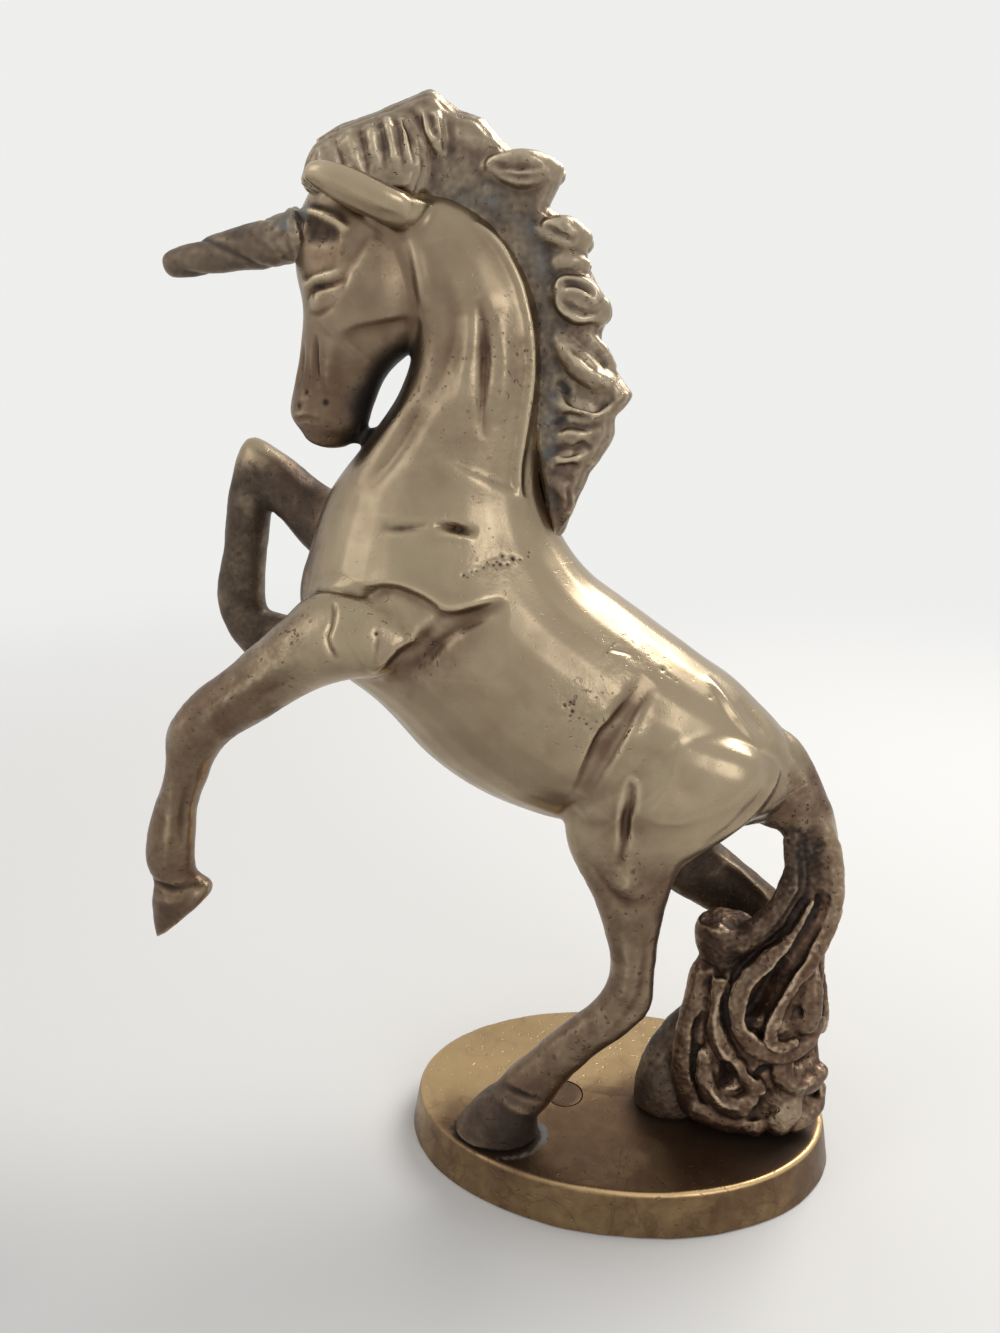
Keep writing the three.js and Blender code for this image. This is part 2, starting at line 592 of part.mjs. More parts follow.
// Base plate: an oval tray cast upside down, with a drafted rim and holes for the screws and the plug
function oval(halfLength, halfWidth, height) {
  const ring = [];
  const around = 48;
  for (let step = 0; step < around; step += 1) {
    const turn = (2 * Math.PI * step) / around;
    ring.push(new THREE.Vector3(
      baseMiddleX + halfLength * Math.cos(turn), halfWidth * Math.sin(turn), height));
  }
  return ring;
}
const halfLength = baseLength / 2;
const halfWidth = baseWidth / 2;
const trayHeight = baseThickness - topWall;
const edgeInset = baseEdgeRadius * edgeShare;
const upright = ([x, y], bottom, top, diameter, around = 24) => (
  bar([x, y, bottom], [x, y, top], diameter, around));
const basePlate = solid(skin([
  oval(halfLength + baseFlare, halfWidth + baseFlare, 0),
  oval(halfLength, halfWidth, baseThickness - baseEdgeRadius),
  oval(halfLength - edgeInset, halfWidth - edgeInset, baseThickness - edgeInset),
  oval(halfLength - baseEdgeRadius, halfWidth - baseEdgeRadius, baseThickness),
]))
  .subtract(solid(skin([
    oval(halfLength + baseFlare - rimWall, halfWidth + baseFlare - rimWall, -1),
    oval(halfLength - rimWall, halfWidth - rimWall, trayHeight),
  ])))
  .subtract(upright(hoofScrewPlace, 0, baseThickness + 1, screwDiameter + 2 * jointGap, 16))
  .subtract(upright(tailScrewPlace, 0, baseThickness + 1, screwDiameter + 2 * jointGap, 16))
  .subtract(upright([plugX, plugY], 0, baseThickness + 1, plugDiameter + 2 * jointGap));
const basePlug = upright([plugX, plugY], trayHeight, baseThickness, plugDiameter);

// Slotted screw, head down, that pulls the figure on to the plate, with its washer
function makeScrew([x, y], depthInFigure) {
  const seat = trayHeight - washerThickness;
  const bottom = seat - screwHeadHeight;
  const shank = upright([x, y], seat - 1, baseThickness + depthInFigure, screwDiameter, 16);
  const head = upright([x, y], bottom, seat, screwHeadDiameter);
  const slot = new THREE.BoxGeometry(screwHeadDiameter + 1, slotWidth, 2 * slotDepth);
  slot.translate(x, y, bottom);
  return shank.add(head).subtract(solid(slot));
}
function makeWasher([x, y]) {
  const bottom = trayHeight - washerThickness;
  return upright([x, y], bottom, trayHeight, washerDiameter)
    .subtract(upright([x, y], bottom - 1, trayHeight + 1, screwDiameter + 2 * jointGap, 16));
}

// Finishes, from the pale polished body to the dark hair
const finish = (colour, roughness) => (
  new THREE.MeshStandardMaterial({ color: colour, metalness: 1, roughness }));
const polishedBrass = finish(0xc2ab80, 0.32);
const brownBrass = finish(0x85603f, 0.42);
const darkBrass = finish(0x6b5138, 0.5);
const baseBrass = finish(0x9a7b4a, 0.38);
const brightBrass = finish(0xc9a45a, 0.3);
const steel = finish(0x9b9b98, 0.4);

// Triangles that matter less than this to a shape are left out of its mesh
const meshTolerance = 0.08;
function piece(name, shape, material) {
  const { vertProperties, triVerts } = shape.simplify(meshTolerance).getMesh();
  const geometry = new THREE.BufferGeometry();
  geometry.setAttribute('position', new THREE.Float32BufferAttribute(vertProperties, 3));
  geometry.setIndex([...triVerts]);
  geometry.computeVertexNormals();
  const mesh = new THREE.Mesh(geometry, material);
  mesh.name = name;
  return mesh;
}

const figure = new THREE.Group();
figure.add(
  piece('head_and_neck', headAndNeck, polishedBrass),
  piece('mane', mane, darkBrass),
  piece('horn', horn, brownBrass),
  piece('torso', torso, polishedBrass),
  piece('hindquarters', hindquarters, polishedBrass),
  piece('near_foreleg', nearForeleg, brownBrass),
  piece('far_foreleg', farForeleg, brownBrass),
  piece('near_hind_leg', nearHindLeg, brownBrass),
  piece('far_hind_leg', farHindLeg, brownBrass),
  piece('tail', tail, darkBrass),
);
figure.position.z = baseThickness;

const unicorn = new THREE.Group();
unicorn.add(
  figure,
  piece('base_plate', basePlate, baseBrass),
  piece('base_plug', basePlug, brightBrass),
  piece('hoof_screw', makeScrew(hoofScrewPlace, hoofScrewDepth), steel),
  piece('hoof_washer', makeWasher(hoofScrewPlace), steel),
  piece('tail_screw', makeScrew(tailScrewPlace, tailScrewDepth), steel),
  piece('tail_washer', makeWasher(tailScrewPlace), steel),
);

// The part's origin is under the middle of its whole outline
const outline = new THREE.Box3().setFromObject(unicorn);
unicorn.position.x = -(outline.min.x + outline.max.x) / 2;
unicorn.position.y = -(outline.min.y + outline.max.y) / 2;

export default unicorn;
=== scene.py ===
# A brass unicorn figurine that rears on an oval base plate.
# The castings are modelled in millimetres, measured from the middle of the figure on top of the plate,
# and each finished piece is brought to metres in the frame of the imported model.
import json
import math
import bmesh
import bpy
import numpy as np
from mathutils import Matrix, Vector, kdtree, noise

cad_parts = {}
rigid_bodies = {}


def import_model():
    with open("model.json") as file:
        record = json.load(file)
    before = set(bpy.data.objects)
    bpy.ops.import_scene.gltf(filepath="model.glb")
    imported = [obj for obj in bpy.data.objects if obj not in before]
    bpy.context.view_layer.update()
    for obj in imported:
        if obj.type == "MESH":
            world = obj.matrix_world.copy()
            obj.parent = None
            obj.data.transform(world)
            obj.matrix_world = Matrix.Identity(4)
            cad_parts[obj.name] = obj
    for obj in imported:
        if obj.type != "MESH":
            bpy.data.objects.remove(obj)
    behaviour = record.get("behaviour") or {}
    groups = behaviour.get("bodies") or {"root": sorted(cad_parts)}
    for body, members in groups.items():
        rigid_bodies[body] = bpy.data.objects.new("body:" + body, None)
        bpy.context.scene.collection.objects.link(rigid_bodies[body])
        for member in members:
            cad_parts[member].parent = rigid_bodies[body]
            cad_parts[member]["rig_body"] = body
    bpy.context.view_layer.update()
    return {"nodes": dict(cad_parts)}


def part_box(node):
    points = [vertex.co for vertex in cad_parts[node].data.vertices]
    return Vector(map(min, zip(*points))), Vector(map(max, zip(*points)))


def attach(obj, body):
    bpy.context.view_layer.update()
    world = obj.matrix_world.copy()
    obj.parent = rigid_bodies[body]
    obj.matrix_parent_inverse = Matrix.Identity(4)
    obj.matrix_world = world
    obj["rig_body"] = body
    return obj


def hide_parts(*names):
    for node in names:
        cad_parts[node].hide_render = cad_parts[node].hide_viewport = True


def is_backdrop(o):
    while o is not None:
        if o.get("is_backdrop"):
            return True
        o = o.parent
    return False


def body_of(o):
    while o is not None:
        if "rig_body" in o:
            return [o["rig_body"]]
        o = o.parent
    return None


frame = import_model()
nodes = frame["nodes"]
bpy.context.scene.view_settings.view_transform = "Standard"

# Camera
# It stands a forearm's length from the figurine, a little above it, and looks down at it from its near
# side, as a telephone does. It has the wide lens of a telephone.
plate_low, plate_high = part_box("base_plate")
plate_middle = (plate_low + plate_high) / 2
camera_data = bpy.data.cameras.new("camera")
camera_data.lens = 27.03
camera_data.sensor_width = 36
camera_data.clip_start = 0.01
camera = bpy.data.objects.new("camera", camera_data)
bpy.context.scene.collection.objects.link(camera)
camera_pitch = math.radians(17)
camera_right = Vector((0.992, 0.127, 0)).normalized()
camera_level = Vector((-0.127, 0.992, 0)).normalized()
camera_way = camera_level * math.cos(camera_pitch) - Vector((0, 0, math.sin(camera_pitch)))
camera_up = camera_right.cross(camera_way)
camera_place = Vector((0.03195, -0.25995, 0.229))
camera.matrix_world = Matrix((
    (camera_right.x, camera_up.x, -camera_way.x, camera_place.x),
    (camera_right.y, camera_up.y, -camera_way.y, camera_place.y),
    (camera_right.z, camera_up.z, -camera_way.z, camera_place.z),
    (0, 0, 0, 1),
))
bpy.context.scene.camera = camera

# Floor and studio light
# A plain pale floor runs out to a pale surround. A strong soft lamp stands behind the figurine like a
# window and gives its broad highlights. Two weak ones fill in from the front left and the front right.
floor_half = 4.0
pale = (0.86, 0.86, 0.85)
floor_mesh = bpy.data.meshes.new("floor")
floor_bm = bmesh.new()
bmesh.ops.create_grid(floor_bm, x_segments=1, y_segments=1, size=floor_half)
floor_bm.to_mesh(floor_mesh)
floor_bm.free()
floor = bpy.data.objects.new("floor", floor_mesh)
bpy.context.scene.collection.objects.link(floor)
floor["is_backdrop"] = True


def feed(tree, socket, value):
    """Links a socket to another node's output, or sets it to a number or a colour."""
    if isinstance(value, bpy.types.NodeSocket):
        tree.links.new(value, socket)
    else:
        socket.default_value = (*value, 1) if socket.type == "RGBA" else value


def wire(tree, kind, sockets, **settings):
    """A new node of a tree, with its settings, and with values or other nodes' outputs on its sockets."""
    made = tree.nodes.new(kind)
    for name, value in settings.items():
        setattr(made, name, value)
    for slot, value in sockets.items():
        feed(tree, made.inputs[slot], value)
    return made.outputs


floor_paint = bpy.data.materials.new("floor_paint")
floor_paint.use_nodes = True
floor_tree = floor_paint.node_tree
near_floor = floor_tree.nodes["Principled BSDF"]
feed(floor_tree, near_floor.inputs["Base Color"], (0.74, 0.73, 0.71))
feed(floor_tree, near_floor.inputs["Roughness"], 0.9)
far_floor = wire(floor_tree, "ShaderNodeEmission", {"Color": pale})
floor_place = wire(floor_tree, "ShaderNodeTexCoord", {})["Object"]
floor_reach = wire(floor_tree, "ShaderNodeVectorMath", {0: floor_place}, operation="LENGTH")["Value"]
floor_fade = wire(floor_tree, "ShaderNodeMapRange",
                  {"Value": floor_reach, "From Min": 0.15, "From Max": 0.9},
                  interpolation_type="SMOOTHSTEP")["Result"]
floor_mix = wire(floor_tree, "ShaderNodeMixShader",
                 {"Fac": floor_fade, 1: near_floor.outputs[0], 2: far_floor[0]})
feed(floor_tree, floor_tree.nodes["Material Output"].inputs["Surface"], floor_mix[0])
floor_mesh.materials.append(floor_paint)


def soft_lamp(name, place, width, height, power, tint=(1, 1, 1)):
    """A soft box that faces the middle of the figurine."""
    light = bpy.data.lights.new(name, "AREA")
    light.shape = "RECTANGLE"
    light.size = width
    light.size_y = height
    light.energy = power
    light.color = tint
    lamp = bpy.data.objects.new(name, light)
    bpy.context.scene.collection.objects.link(lamp)
    lamp.location = place
    lamp.rotation_euler = (Vector((0, 0, 0.15)) - Vector(place)).to_track_quat("-Z", "Y").to_euler()


soft_lamp("window", (0.55, 0.5, 0.95), width=0.7, height=0.6, power=10, tint=(1, 0.985, 0.95))
soft_lamp("side_box", (-0.9, -0.55, 0.75), width=0.6, height=0.8, power=1.3)
soft_lamp("front_box", (0.7, -0.9, 0.6), width=0.5, height=0.5, power=1.5)

world = bpy.data.worlds.new("surround")
bpy.context.scene.world = world
world.use_nodes = True
world_tree = world.node_tree
surround = wire(world_tree, "ShaderNodeBackground", {"Color": (0.55, 0.55, 0.56)})[0]
pale_surround = wire(world_tree, "ShaderNodeBackground", {"Color": pale})[0]
ray = wire(world_tree, "ShaderNodeLightPath", {})
seen = ray["Is Camera Ray"]
for kind in ("Is Glossy Ray", "Is Transmission Ray"):
    seen = wire(world_tree, "ShaderNodeMath", {0: seen, 1: ray[kind]}, operation="MAXIMUM")[0]
either = wire(world_tree, "ShaderNodeMixShader", {"Fac": seen, 1: surround, 2: pale_surround})
feed(world_tree, world_tree.nodes["World Output"].inputs["Surface"], either[0])

# Figure skin
# Trunk, head, ears, legs and the stub of the tail are cast in brass and blended into one flowing skin
# with files and polish. A section reads front x, front z, back x, back z, side y, half width.
to_row = Matrix.Translation((plate_middle.x + 0.001, 0, plate_high.z)) @ Matrix.Scale(0.001, 4)
trunk_sections = [
    (-74, 244, -55, 256, 0, 8), (-67, 238, -44, 252, 0, 10.5), (-62, 229, -34, 244, 0, 12),
    (-59.5, 218, -27, 231, 0, 13), (-64.5, 206, -25, 216, 0, 14), (-73, 195, -26, 201, 0, 15.5),
    (-82, 184, -26, 187, 0, 18), (-88, 170, -22, 174, 0, 21.5), (-92, 154, -14, 163, 0, 25),
    (-86, 138, -5, 156, 0, 26.5), (-72, 127, 5, 149, 0, 27.5), (-58, 112, 15, 142, 0, 28),
    (-44, 102, 24, 136, 0, 27), (-32, 97, 31, 130, 0, 25), (-20, 94, 38, 123, 0, 23),
    (-5, 92, 43, 115, 0, 19), (9, 92, 44, 106, 0, 14), (20, 94, 41, 100, 0, 8),
]
head_sections = [
    (-83, 257, -60, 255, 0, 7), (-88, 248, -55, 247, 0, 10.5), (-88.5, 238, -53, 233, 0, 12.5),
    (-87, 229, -56, 222, 0, 12), (-88.5, 219, -66, 213, 0, 9.5), (-90.5, 210, -70, 205, 0, 8),
    (-92, 203, -72, 199.5, 0, 7.8), (-89, 198, -76, 196, 0, 5.5),
]
ear_sections = [
    (-56, 244.6, -52.4, 251.4, -8, 3.2), (-62, 245.6, -58.8, 253.8, -12, 3.8),
    (-70.5, 249.6, -67, 257.4, -13.5, 3.6), (-77.5, 253.4, -74.6, 259.4, -14, 3),
    (-81, 255.6, -78.8, 259.8, -14, 2.2),
]
leg_rows = {
    "near_foreleg": [
        (-52, 158, -46, 146, -6, 6), (-70, 165, -50, 145, -14, 11), (-83, 160, -58, 139, -18.5, 12),
        (-91, 152.5, -72, 138, -20.5, 10.5), (-98, 146.5, -84, 134, -21, 8.6),
        (-107, 139, -96, 126, -21, 7.5), (-117, 131.5, -106, 120, -21, 7),
        (-124, 122, -112, 113.5, -21, 6.6), (-126, 110, -115.5, 106, -21, 5.8),
        (-129.5, 101, -118.5, 99, -21, 5.2), (-133, 92, -120, 90.5, -21, 5),
        (-134.5, 83, -121, 82, -21, 5.4), (-133, 75, -120.5, 78, -21, 5.2),
        (-134.5, 69, -116.5, 75, -21, 6.3), (-134, 57.5, -117, 72, -21, 6.6),
    ],
    "far_foreleg": [
        (-66, 176, -70, 150, 10, 9), (-84, 180, -86, 157, 16, 9.5), (-93, 183.5, -96, 163.5, 20, 8.5),
        (-102, 190.5, -103, 171.5, 21, 7.5), (-113, 195, -107.5, 174, 22, 6.8),
        (-119.5, 180, -108.5, 168, 22, 6.2), (-122.5, 163, -110.5, 157, 22, 5.6),
        (-126, 149, -111, 145, 22, 5.6), (-123, 137, -108, 143.5, 21.5, 5.6),
        (-115, 128, -103.5, 142.5, 21, 6.2), (-102, 122, -93, 138.5, 20.5, 6.6),
    ],
    "near_hind_leg": [
        (10, 138, 32, 124, -5, 5), (-5, 131, 38, 114, -12, 11), (-15, 115, 32, 103, -15, 12.5),
        (-18, 102, 23, 95, -16, 11.5), (-16.5, 91, 14, 88, -17, 9.5), (-10.5, 80, 10.5, 78, -18, 8),
        (-6.5, 68, 8.5, 66, -18.5, 6.6), (-4.5, 57, 8, 55, -19, 5.8), (-6.5, 48, 7, 45, -19, 5.4),
        (-12.5, 41, 1, 37, -19.5, 5), (-19.5, 34.5, -8.5, 28, -20, 4.8), (-26.5, 27, -15.5, 19, -20.5, 5),
        (-32, 21.5, -20, 12, -21, 5.8), (-36, 16, -23, 9, -21.5, 6.6), (-42, 10.5, -23.5, 6, -21.5, 8),
        (-47.5, 2.5, -23.5, 1.5, -21.5, 8.6), (-48, -2, -23.5, -2, -21.5, 8.7),
    ],
    "far_hind_leg": [
        (10, 136, 32, 122, 5, 5), (-5, 126, 36, 112, 12, 11), (-10, 106, 32, 100, 15, 12),
        (-7, 88, 27, 91, 16, 11), (6, 68, 25, 80.5, 17, 9), (20, 58, 32, 73.5, 17, 7.5),
        (32, 52, 41, 66.5, 17, 6.2), (37, 47.5, 50, 57.5, 16, 5.6), (34.5, 44.5, 48, 48.5, 15, 5.3),
        (30, 38.5, 41, 35.5, 12.5, 5), (23, 31, 33, 26.5, 8.5, 5), (15, 26, 27.5, 20, 4.5, 5.8),
        (9.5, 20, 24, 13, 1, 6.8), (5.5, 13, 24, 9, -1.5, 8), (4, 4, 25, 3, -2.5, 9),
        (4.5, -2, 25, -2, -2.5, 9),
    ],
}
tail_stub_sections = [
    (34, 124, 24, 104, 0, 7), (44, 118, 33, 95, 0, 7.5), (52, 104, 41, 91, 0, 7),
    (56.5, 92, 43.5, 83, -1, 6.6), (57.5, 76, 43, 73, -2, 6.6),
]


def through(rows, steps):
    """The given rows with more between them, on one smooth curve."""
    rows = np.array(rows, float)
    ends = np.vstack([2 * rows[0] - rows[1], rows, 2 * rows[-1] - rows[-2]])
    made = []
    for first in range(len(rows) - 1):
        before, here, there, after = ends[first:first + 4]
        for share in np.arange(steps) / steps:
            made.append(here + 0.5 * share * (there - before + share * (
                2 * before - 5 * here + 4 * there - after + share * (3 * (here - there) + after - before))))
    made.append(rows[-1])
    return np.array(made)


def oval(row, grow=0.0):
    """A matrix that lays a unit circle on one section."""
    front = Vector((row[0], 0, row[1]))
    back = Vector((row[2], 0, row[3]))
    arm = (back - front) / 2
    arm.length += grow
    across = Vector((0, row[5] + grow, 0))
    way = arm.cross(across).normalized()
    middle = (front + back) / 2 + Vector((0, row[4], 0))
    return Matrix.Translation(middle) @ Matrix((arm, across, way)).transposed().to_4x4()


def round_end(frames, length):
    """Smaller and smaller copies of the last frame, pushed out to a rounded end."""
    way = (frames[-1].translation - frames[-2].translation).normalized()
    made = []
    for degrees in (20, 40, 60, 78):
        turn = math.radians(degrees)
        shrink = frames[-1] @ Matrix.Scale(math.cos(turn), 4)
        made.append(Matrix.Translation(way * length * math.sin(turn)) @ shrink)
    return frames + made


def add_loft(bm, frames, around=32):
    """A closed skin through a row of ovals."""
    first = bmesh.ops.create_circle(bm, cap_ends=True, radius=1, segments=around, matrix=frames[0])["verts"]
    edges = list({edge for vert in first for edge in vert.link_edges})
    for here, there in zip(frames, frames[1:]):
        grown = bmesh.ops.extrude_edge_only(bm, edges=edges)["geom"]
        verts = [part for part in grown if isinstance(part, bmesh.types.BMVert)]
        edges = [part for part in grown if isinstance(part, bmesh.types.BMEdge)]
        bmesh.ops.transform(bm, matrix=there @ here.inverted(), verts=verts)
    bmesh.ops.contextual_create(bm, geom=edges)


def add_casting(bm, rows, grow=0.0, start=0.0, end=0.0):
    """A casting's skin through its sections, with its ends rounded by the given lengths."""
    frames = [oval(row, grow) for row in through(rows, 4)]
    if start:
        frames = round_end(frames[::-1], start + grow)[::-1]
    if end:
        frames = round_end(frames, end + grow)
    add_loft(bm, frames)


def add_lock(bm, rows, side=1, flat=0.75):
    """A tapering strand, flatter across the figure than along it."""
    rows = through(rows, 5)
    frames = []
    for index, (x, y, z, half) in enumerate(rows):
        before, after = rows[max(index - 1, 0)], rows[min(index + 1, len(rows) - 1)]
        way = Vector(after[:3] - before[:3]).normalized()
        arm = way.cross((0, 1, 0)).normalized()
        across = arm.cross(way) * flat
        turn = Matrix((arm * half, across * half, way)).transposed().to_4x4()
        frames.append(Matrix.Diagonal((1, side, 1, 1)) @ Matrix.Translation((x, y, z)) @ turn)
    frames = round_end(round_end(frames, rows[-1][3])[::-1], rows[0][3])[::-1]
    add_loft(bm, frames, around=16)


def mirrored(rows):
    """The same sections on the other side."""
    return [(*row[:4], -row[4], row[5]) for row in rows]


def as_object(bm, name):
    """A scene object from a bmesh, with its faces turned outwards."""
    bmesh.ops.recalc_face_normals(bm, faces=bm.faces)
    mesh = bpy.data.meshes.new(name)
    bm.to_mesh(mesh)
    bm.free()
    made = bpy.data.objects.new(name, mesh)
    bpy.context.scene.collection.objects.link(made)
    return made


def settle(piece):
    """Applies a piece's modifiers to its mesh."""
    graph = bpy.context.evaluated_depsgraph_get()
    mesh = bpy.data.meshes.new_from_object(piece.evaluated_get(graph))
    piece.modifiers.clear()
    piece.data = mesh
    return piece


def cast(piece, grain):
    """Melts overlapping closed skins into one, with faces of about the given size."""
    melt = piece.modifiers.new("melt", "REMESH")
    melt.mode = "VOXEL"
    melt.voxel_size = grain
    return settle(piece)


figure_bm = bmesh.new()
add_casting(figure_bm, trunk_sections, end=5)
add_casting(figure_bm, head_sections, start=4, end=3)
add_casting(figure_bm, ear_sections, end=1)
add_casting(figure_bm, mirrored(ear_sections), end=1)
for rows in leg_rows.values():
    add_casting(figure_bm, rows)
add_casting(figure_bm, tail_stub_sections)
add_lock(figure_bm, [(-79, 0, 198, 2.4), (-73, 0, 197, 2.2), (-66, 0, 198, 2.6)])
figure = cast(as_object(figure_bm, "figure"), grain=0.475)


class Clay:
    """A dense skin whose points are pressed in, raised and smoothed, in millimetres."""

    def __init__(self, piece, both=True):
        """Marks go on both sides of the figure, unless both is False."""
        self.both = both
        self.mesh = piece.data
        self.count = len(self.mesh.vertices)
        self.points = np.empty((self.count, 3), np.float32)
        self.ways = np.empty((self.count, 3), np.float32)
        self.rough, self.brown, self.black, self.crust = np.zeros((4, self.count))
        self.edges = np.empty((len(self.mesh.edges), 2), np.int32)
        self.mesh.vertices.foreach_get("co", self.points.ravel())
        self.mesh.edges.foreach_get("vertices", self.edges.ravel())
        self.spokes = np.maximum(np.bincount(self.edges.ravel(), minlength=self.count), 1)
        self.feel()

    def feel(self):
        """Takes the way that each point faces from the skin as it is now."""
        self.mesh.vertices.foreach_set("co", self.points.ravel())
        self.mesh.update()
        self.mesh.vertex_normals.foreach_get("vector", self.ways.ravel())

    def mean(self, values):
        """The mean of a value over each point's neighbours."""
        first, second = self.edges.T
        total = np.bincount(first, values[second], self.count)
        total += np.bincount(second, values[first], self.count)
        return total / self.spokes

    def smooth(self, times, where=1.0):
        """Draws each point towards its neighbours."""
        for _ in range(times):
            means = np.stack([self.mean(self.points[:, axis]) for axis in range(3)], 1)
            self.points += (means - self.points) * np.reshape(0.5 * where, (-1, 1))

    def below(self, times):
        """How far each point lies below the skin around it."""
        start = self.points.copy()
        self.smooth(times)
        depth = ((self.points - start) * self.ways).sum(1)
        self.points = start
        return depth

    def along(self, route, side, reach):
        """The points near a route, their nearest place on it, how far that is, and the share of the way."""
        path = through(route, 10) * (1, side, 1)
        inside = np.all((self.points > path.min(0) - reach) & (self.points < path.max(0) + reach), 1)
        near = np.flatnonzero(inside)
        local = self.points[near]
        path = local[np.linalg.norm(local[:, None] - path[None], axis=2).argmin(0)]
        for _ in range(4):
            path[1:-1] = (path[:-2] + path[1:-1] + path[2:]) / 3
        nearest = np.linalg.norm(local[:, None] - path[None], axis=2).argmin(1)
        step = np.gradient(path, axis=0)[nearest]
        slide = ((local - path[nearest]) * step).sum(1) / ((step ** 2).sum(1) + 0.0001)
        slide = np.clip(slide, -0.5, 0.5)
        middle = path[nearest] + step * slide[:, None]
        share = np.clip((nearest + slide) / (len(path) - 1), 0, 1)
        return near, middle, np.linalg.norm(local - middle, axis=1), share

    def sides(self, both):
        """Where a mark goes: 1 is where it is given, and -1 is mirrored to the far side."""
        return (1, -1) if both and self.both else (1,)

    def press(self, width, height, route, power=2.0, both=True, fade=0.4):
        """A ridge along a route, or a groove where the height is below zero. It fades out at its ends."""
        for side in self.sides(both):
            near, _, apart, share = self.along(route, side, 3 * width + 2)
            ends = np.clip(np.minimum(share, 1 - share) / fade, 0, 1) ** 0.7
            push = height * ends * np.exp(-(apart / width) ** power)
            self.points[near] += self.ways[near] * push[:, None]

    def fold(self, width, height, above, route, fade=0.25, soft=1.6):
        """A rounded step along a route: the skin above it is raised and the skin below it is sunk."""
        for side in self.sides(both=True):
            near, middle, apart, share = self.along(route, side, 3 * width + 2)
            ends = np.clip(np.minimum(share, 1 - share) / fade, 0, 1) ** 0.7
            lift = np.tanh((self.points[near] - middle) @ (np.array(above) * (1, side, 1)) / soft)
            push = height * ends * lift * np.exp(-apart / width)
            self.points[near] += self.ways[near] * push[:, None]

    def swell(self, place, radius, height, both=True):
        """A round swelling, or a hollow where the height is below zero."""
        for side in self.sides(both):
            apart = np.linalg.norm(self.points - np.array(place) * (1, side, 1), axis=1)
            push = height * np.exp(-(apart / radius) ** 2)
            self.points += self.ways * push[:, None]

    def on_side(self, x, z):
        """The skin's place on the near side at the given x and z."""
        near = np.flatnonzero(np.hypot(self.points[:, 0] - x, self.points[:, 2] - z) < 0.8)
        return self.points[near[self.points[near, 1].argmin()]]

    def pits(self, places, both=False):
        """Small dark holes in the near side. A place reads x, z and the hole's radius."""
        for x, z, radius in places:
            place = self.on_side(x, z)
            self.stain(self.black, [(place, radius * 0.9, 0.8)], both)
            self.swell(place, radius, -0.7 * radius, both)

    def tuck(self, depth=0.9, reach=0.9):
        """Draws the lowest rim inward, so that a foot stands on a narrow dark gap."""
        self.points -= self.ways * (depth * np.exp(-(self.points[:, 2] / reach) ** 2))[:, None] * (1, 1, 0)

    def lumps(self, size, height, where=1.0):
        """The uneven skin that the sand leaves."""
        waves = np.array([noise.noise(Vector(point) / size) for point in self.points])
        self.points += self.ways * (waves * height * where)[:, None]

    def stain(self, values, stains, both=True):
        """Raises a painted value round some places. A stain reads place, radius and amount."""
        for place, radius, amount in stains:
            for side in self.sides(both):
                apart = np.linalg.norm(self.points - np.array(place) * (1, side, 1), axis=1)
                values += amount * np.exp(-(apart / radius) ** 2)

    def keep(self):
        """Settles the shape and works out how sunk and how raised each place is, for the patina in hollows
        and for the wear and painted glint on ridges.
        """
        self.feel()
        fine, broad = self.below(4), self.below(40)
        self.painted = {
            "hollow_and_shade": np.clip(fine / 0.12, 0, 1) * 0.35 + np.clip(broad / 1.1, 0, 1) * 0.75,
            "worn_and_glint": np.clip(-fine / 0.09, 0, 1) * 0.6 + np.clip(-broad / 0.9, 0, 1) * 0.5,
        }
        for paint in ("rough", "brown", "black", "crust"):
            self.painted[paint] = np.clip(getattr(self, paint), 0, 1)
        self.tree = kdtree.KDTree(self.count)
        for index, point in enumerate(self.points):
            self.tree.insert(point, index)
        self.tree.balance()


figure_clay = Clay(figure)
figure_clay.smooth(14)
figure_clay.feel()
creases = np.clip(figure_clay.below(25) / 0.25, 0, 1)
figure_clay.smooth(60, where=creases)
figure_clay.feel()

# The carving, from the head to the hooves. A press reads its width, height and route, a fold reads its
# width, height, the way up over its step and its route, and a swell reads its place, radius and height.
press, fold, swell = figure_clay.press, figure_clay.fold, figure_clay.swell

# Head: cheek, temple, jaw, nose, then brow and eye
swell((-63, -13, 236), 8, 0.8)
swell((-78, -11, 240), 4.5, -0.9)
fold(2.2, 0.8, (1, 0, 0.4), [(-65.8, -12, 245.2), (-67.3, -12, 242.2), (-69.7, -12, 238.2),
                             (-72.1, -12, 234.9), (-73.6, -12, 230)], soft=0.9)
press(1.7, 0.9, [(-58.6, -12, 246), (-56, -12, 240.5), (-54.8, -12, 233), (-54.4, -12, 227)])
fold(3.4, 1.5, (-0.2, 0, 1), [(-76, -10, 220.6), (-74, -10, 222.6), (-70.4, -10, 224.4),
                              (-62.9, -10, 225.6), (-55.4, -10, 225.4)], soft=2.0)
press(1.8, 0.7, [(-77, -10, 222), (-79.4, -9, 214), (-79.6, -8, 208)])
press(0.9, -1.1, [(-81.9, -9, 222.3), (-82.7, -8, 216), (-82.1, -8, 209.8)])
press(0.9, -0.8, [(-86.5, -6, 220.6), (-88.3, -6, 214.3), (-89.1, -6, 208.9)])
figure_clay.feel()
press(1.3, 0.7, [(-83.7, -11, 252.9), (-76.5, -12, 251.3), (-69.3, -12, 249.2), (-64.9, -11, 247.3)])
press(1.1, 2.2, [(-89, -4, 251.1), (-84.8, -7, 250.6), (-80.5, -9, 249.5), (-75.5, -11, 247.8),
                 (-72, -12, 245)])
press(2.0, -1.7, [(-85, -8, 246.8), (-82, -9, 245.4), (-78.6, -10, 244.8), (-73.8, -11, 244.3)], fade=0.3)
swell((-80.8, -10, 246.4), 2.2, -0.6)
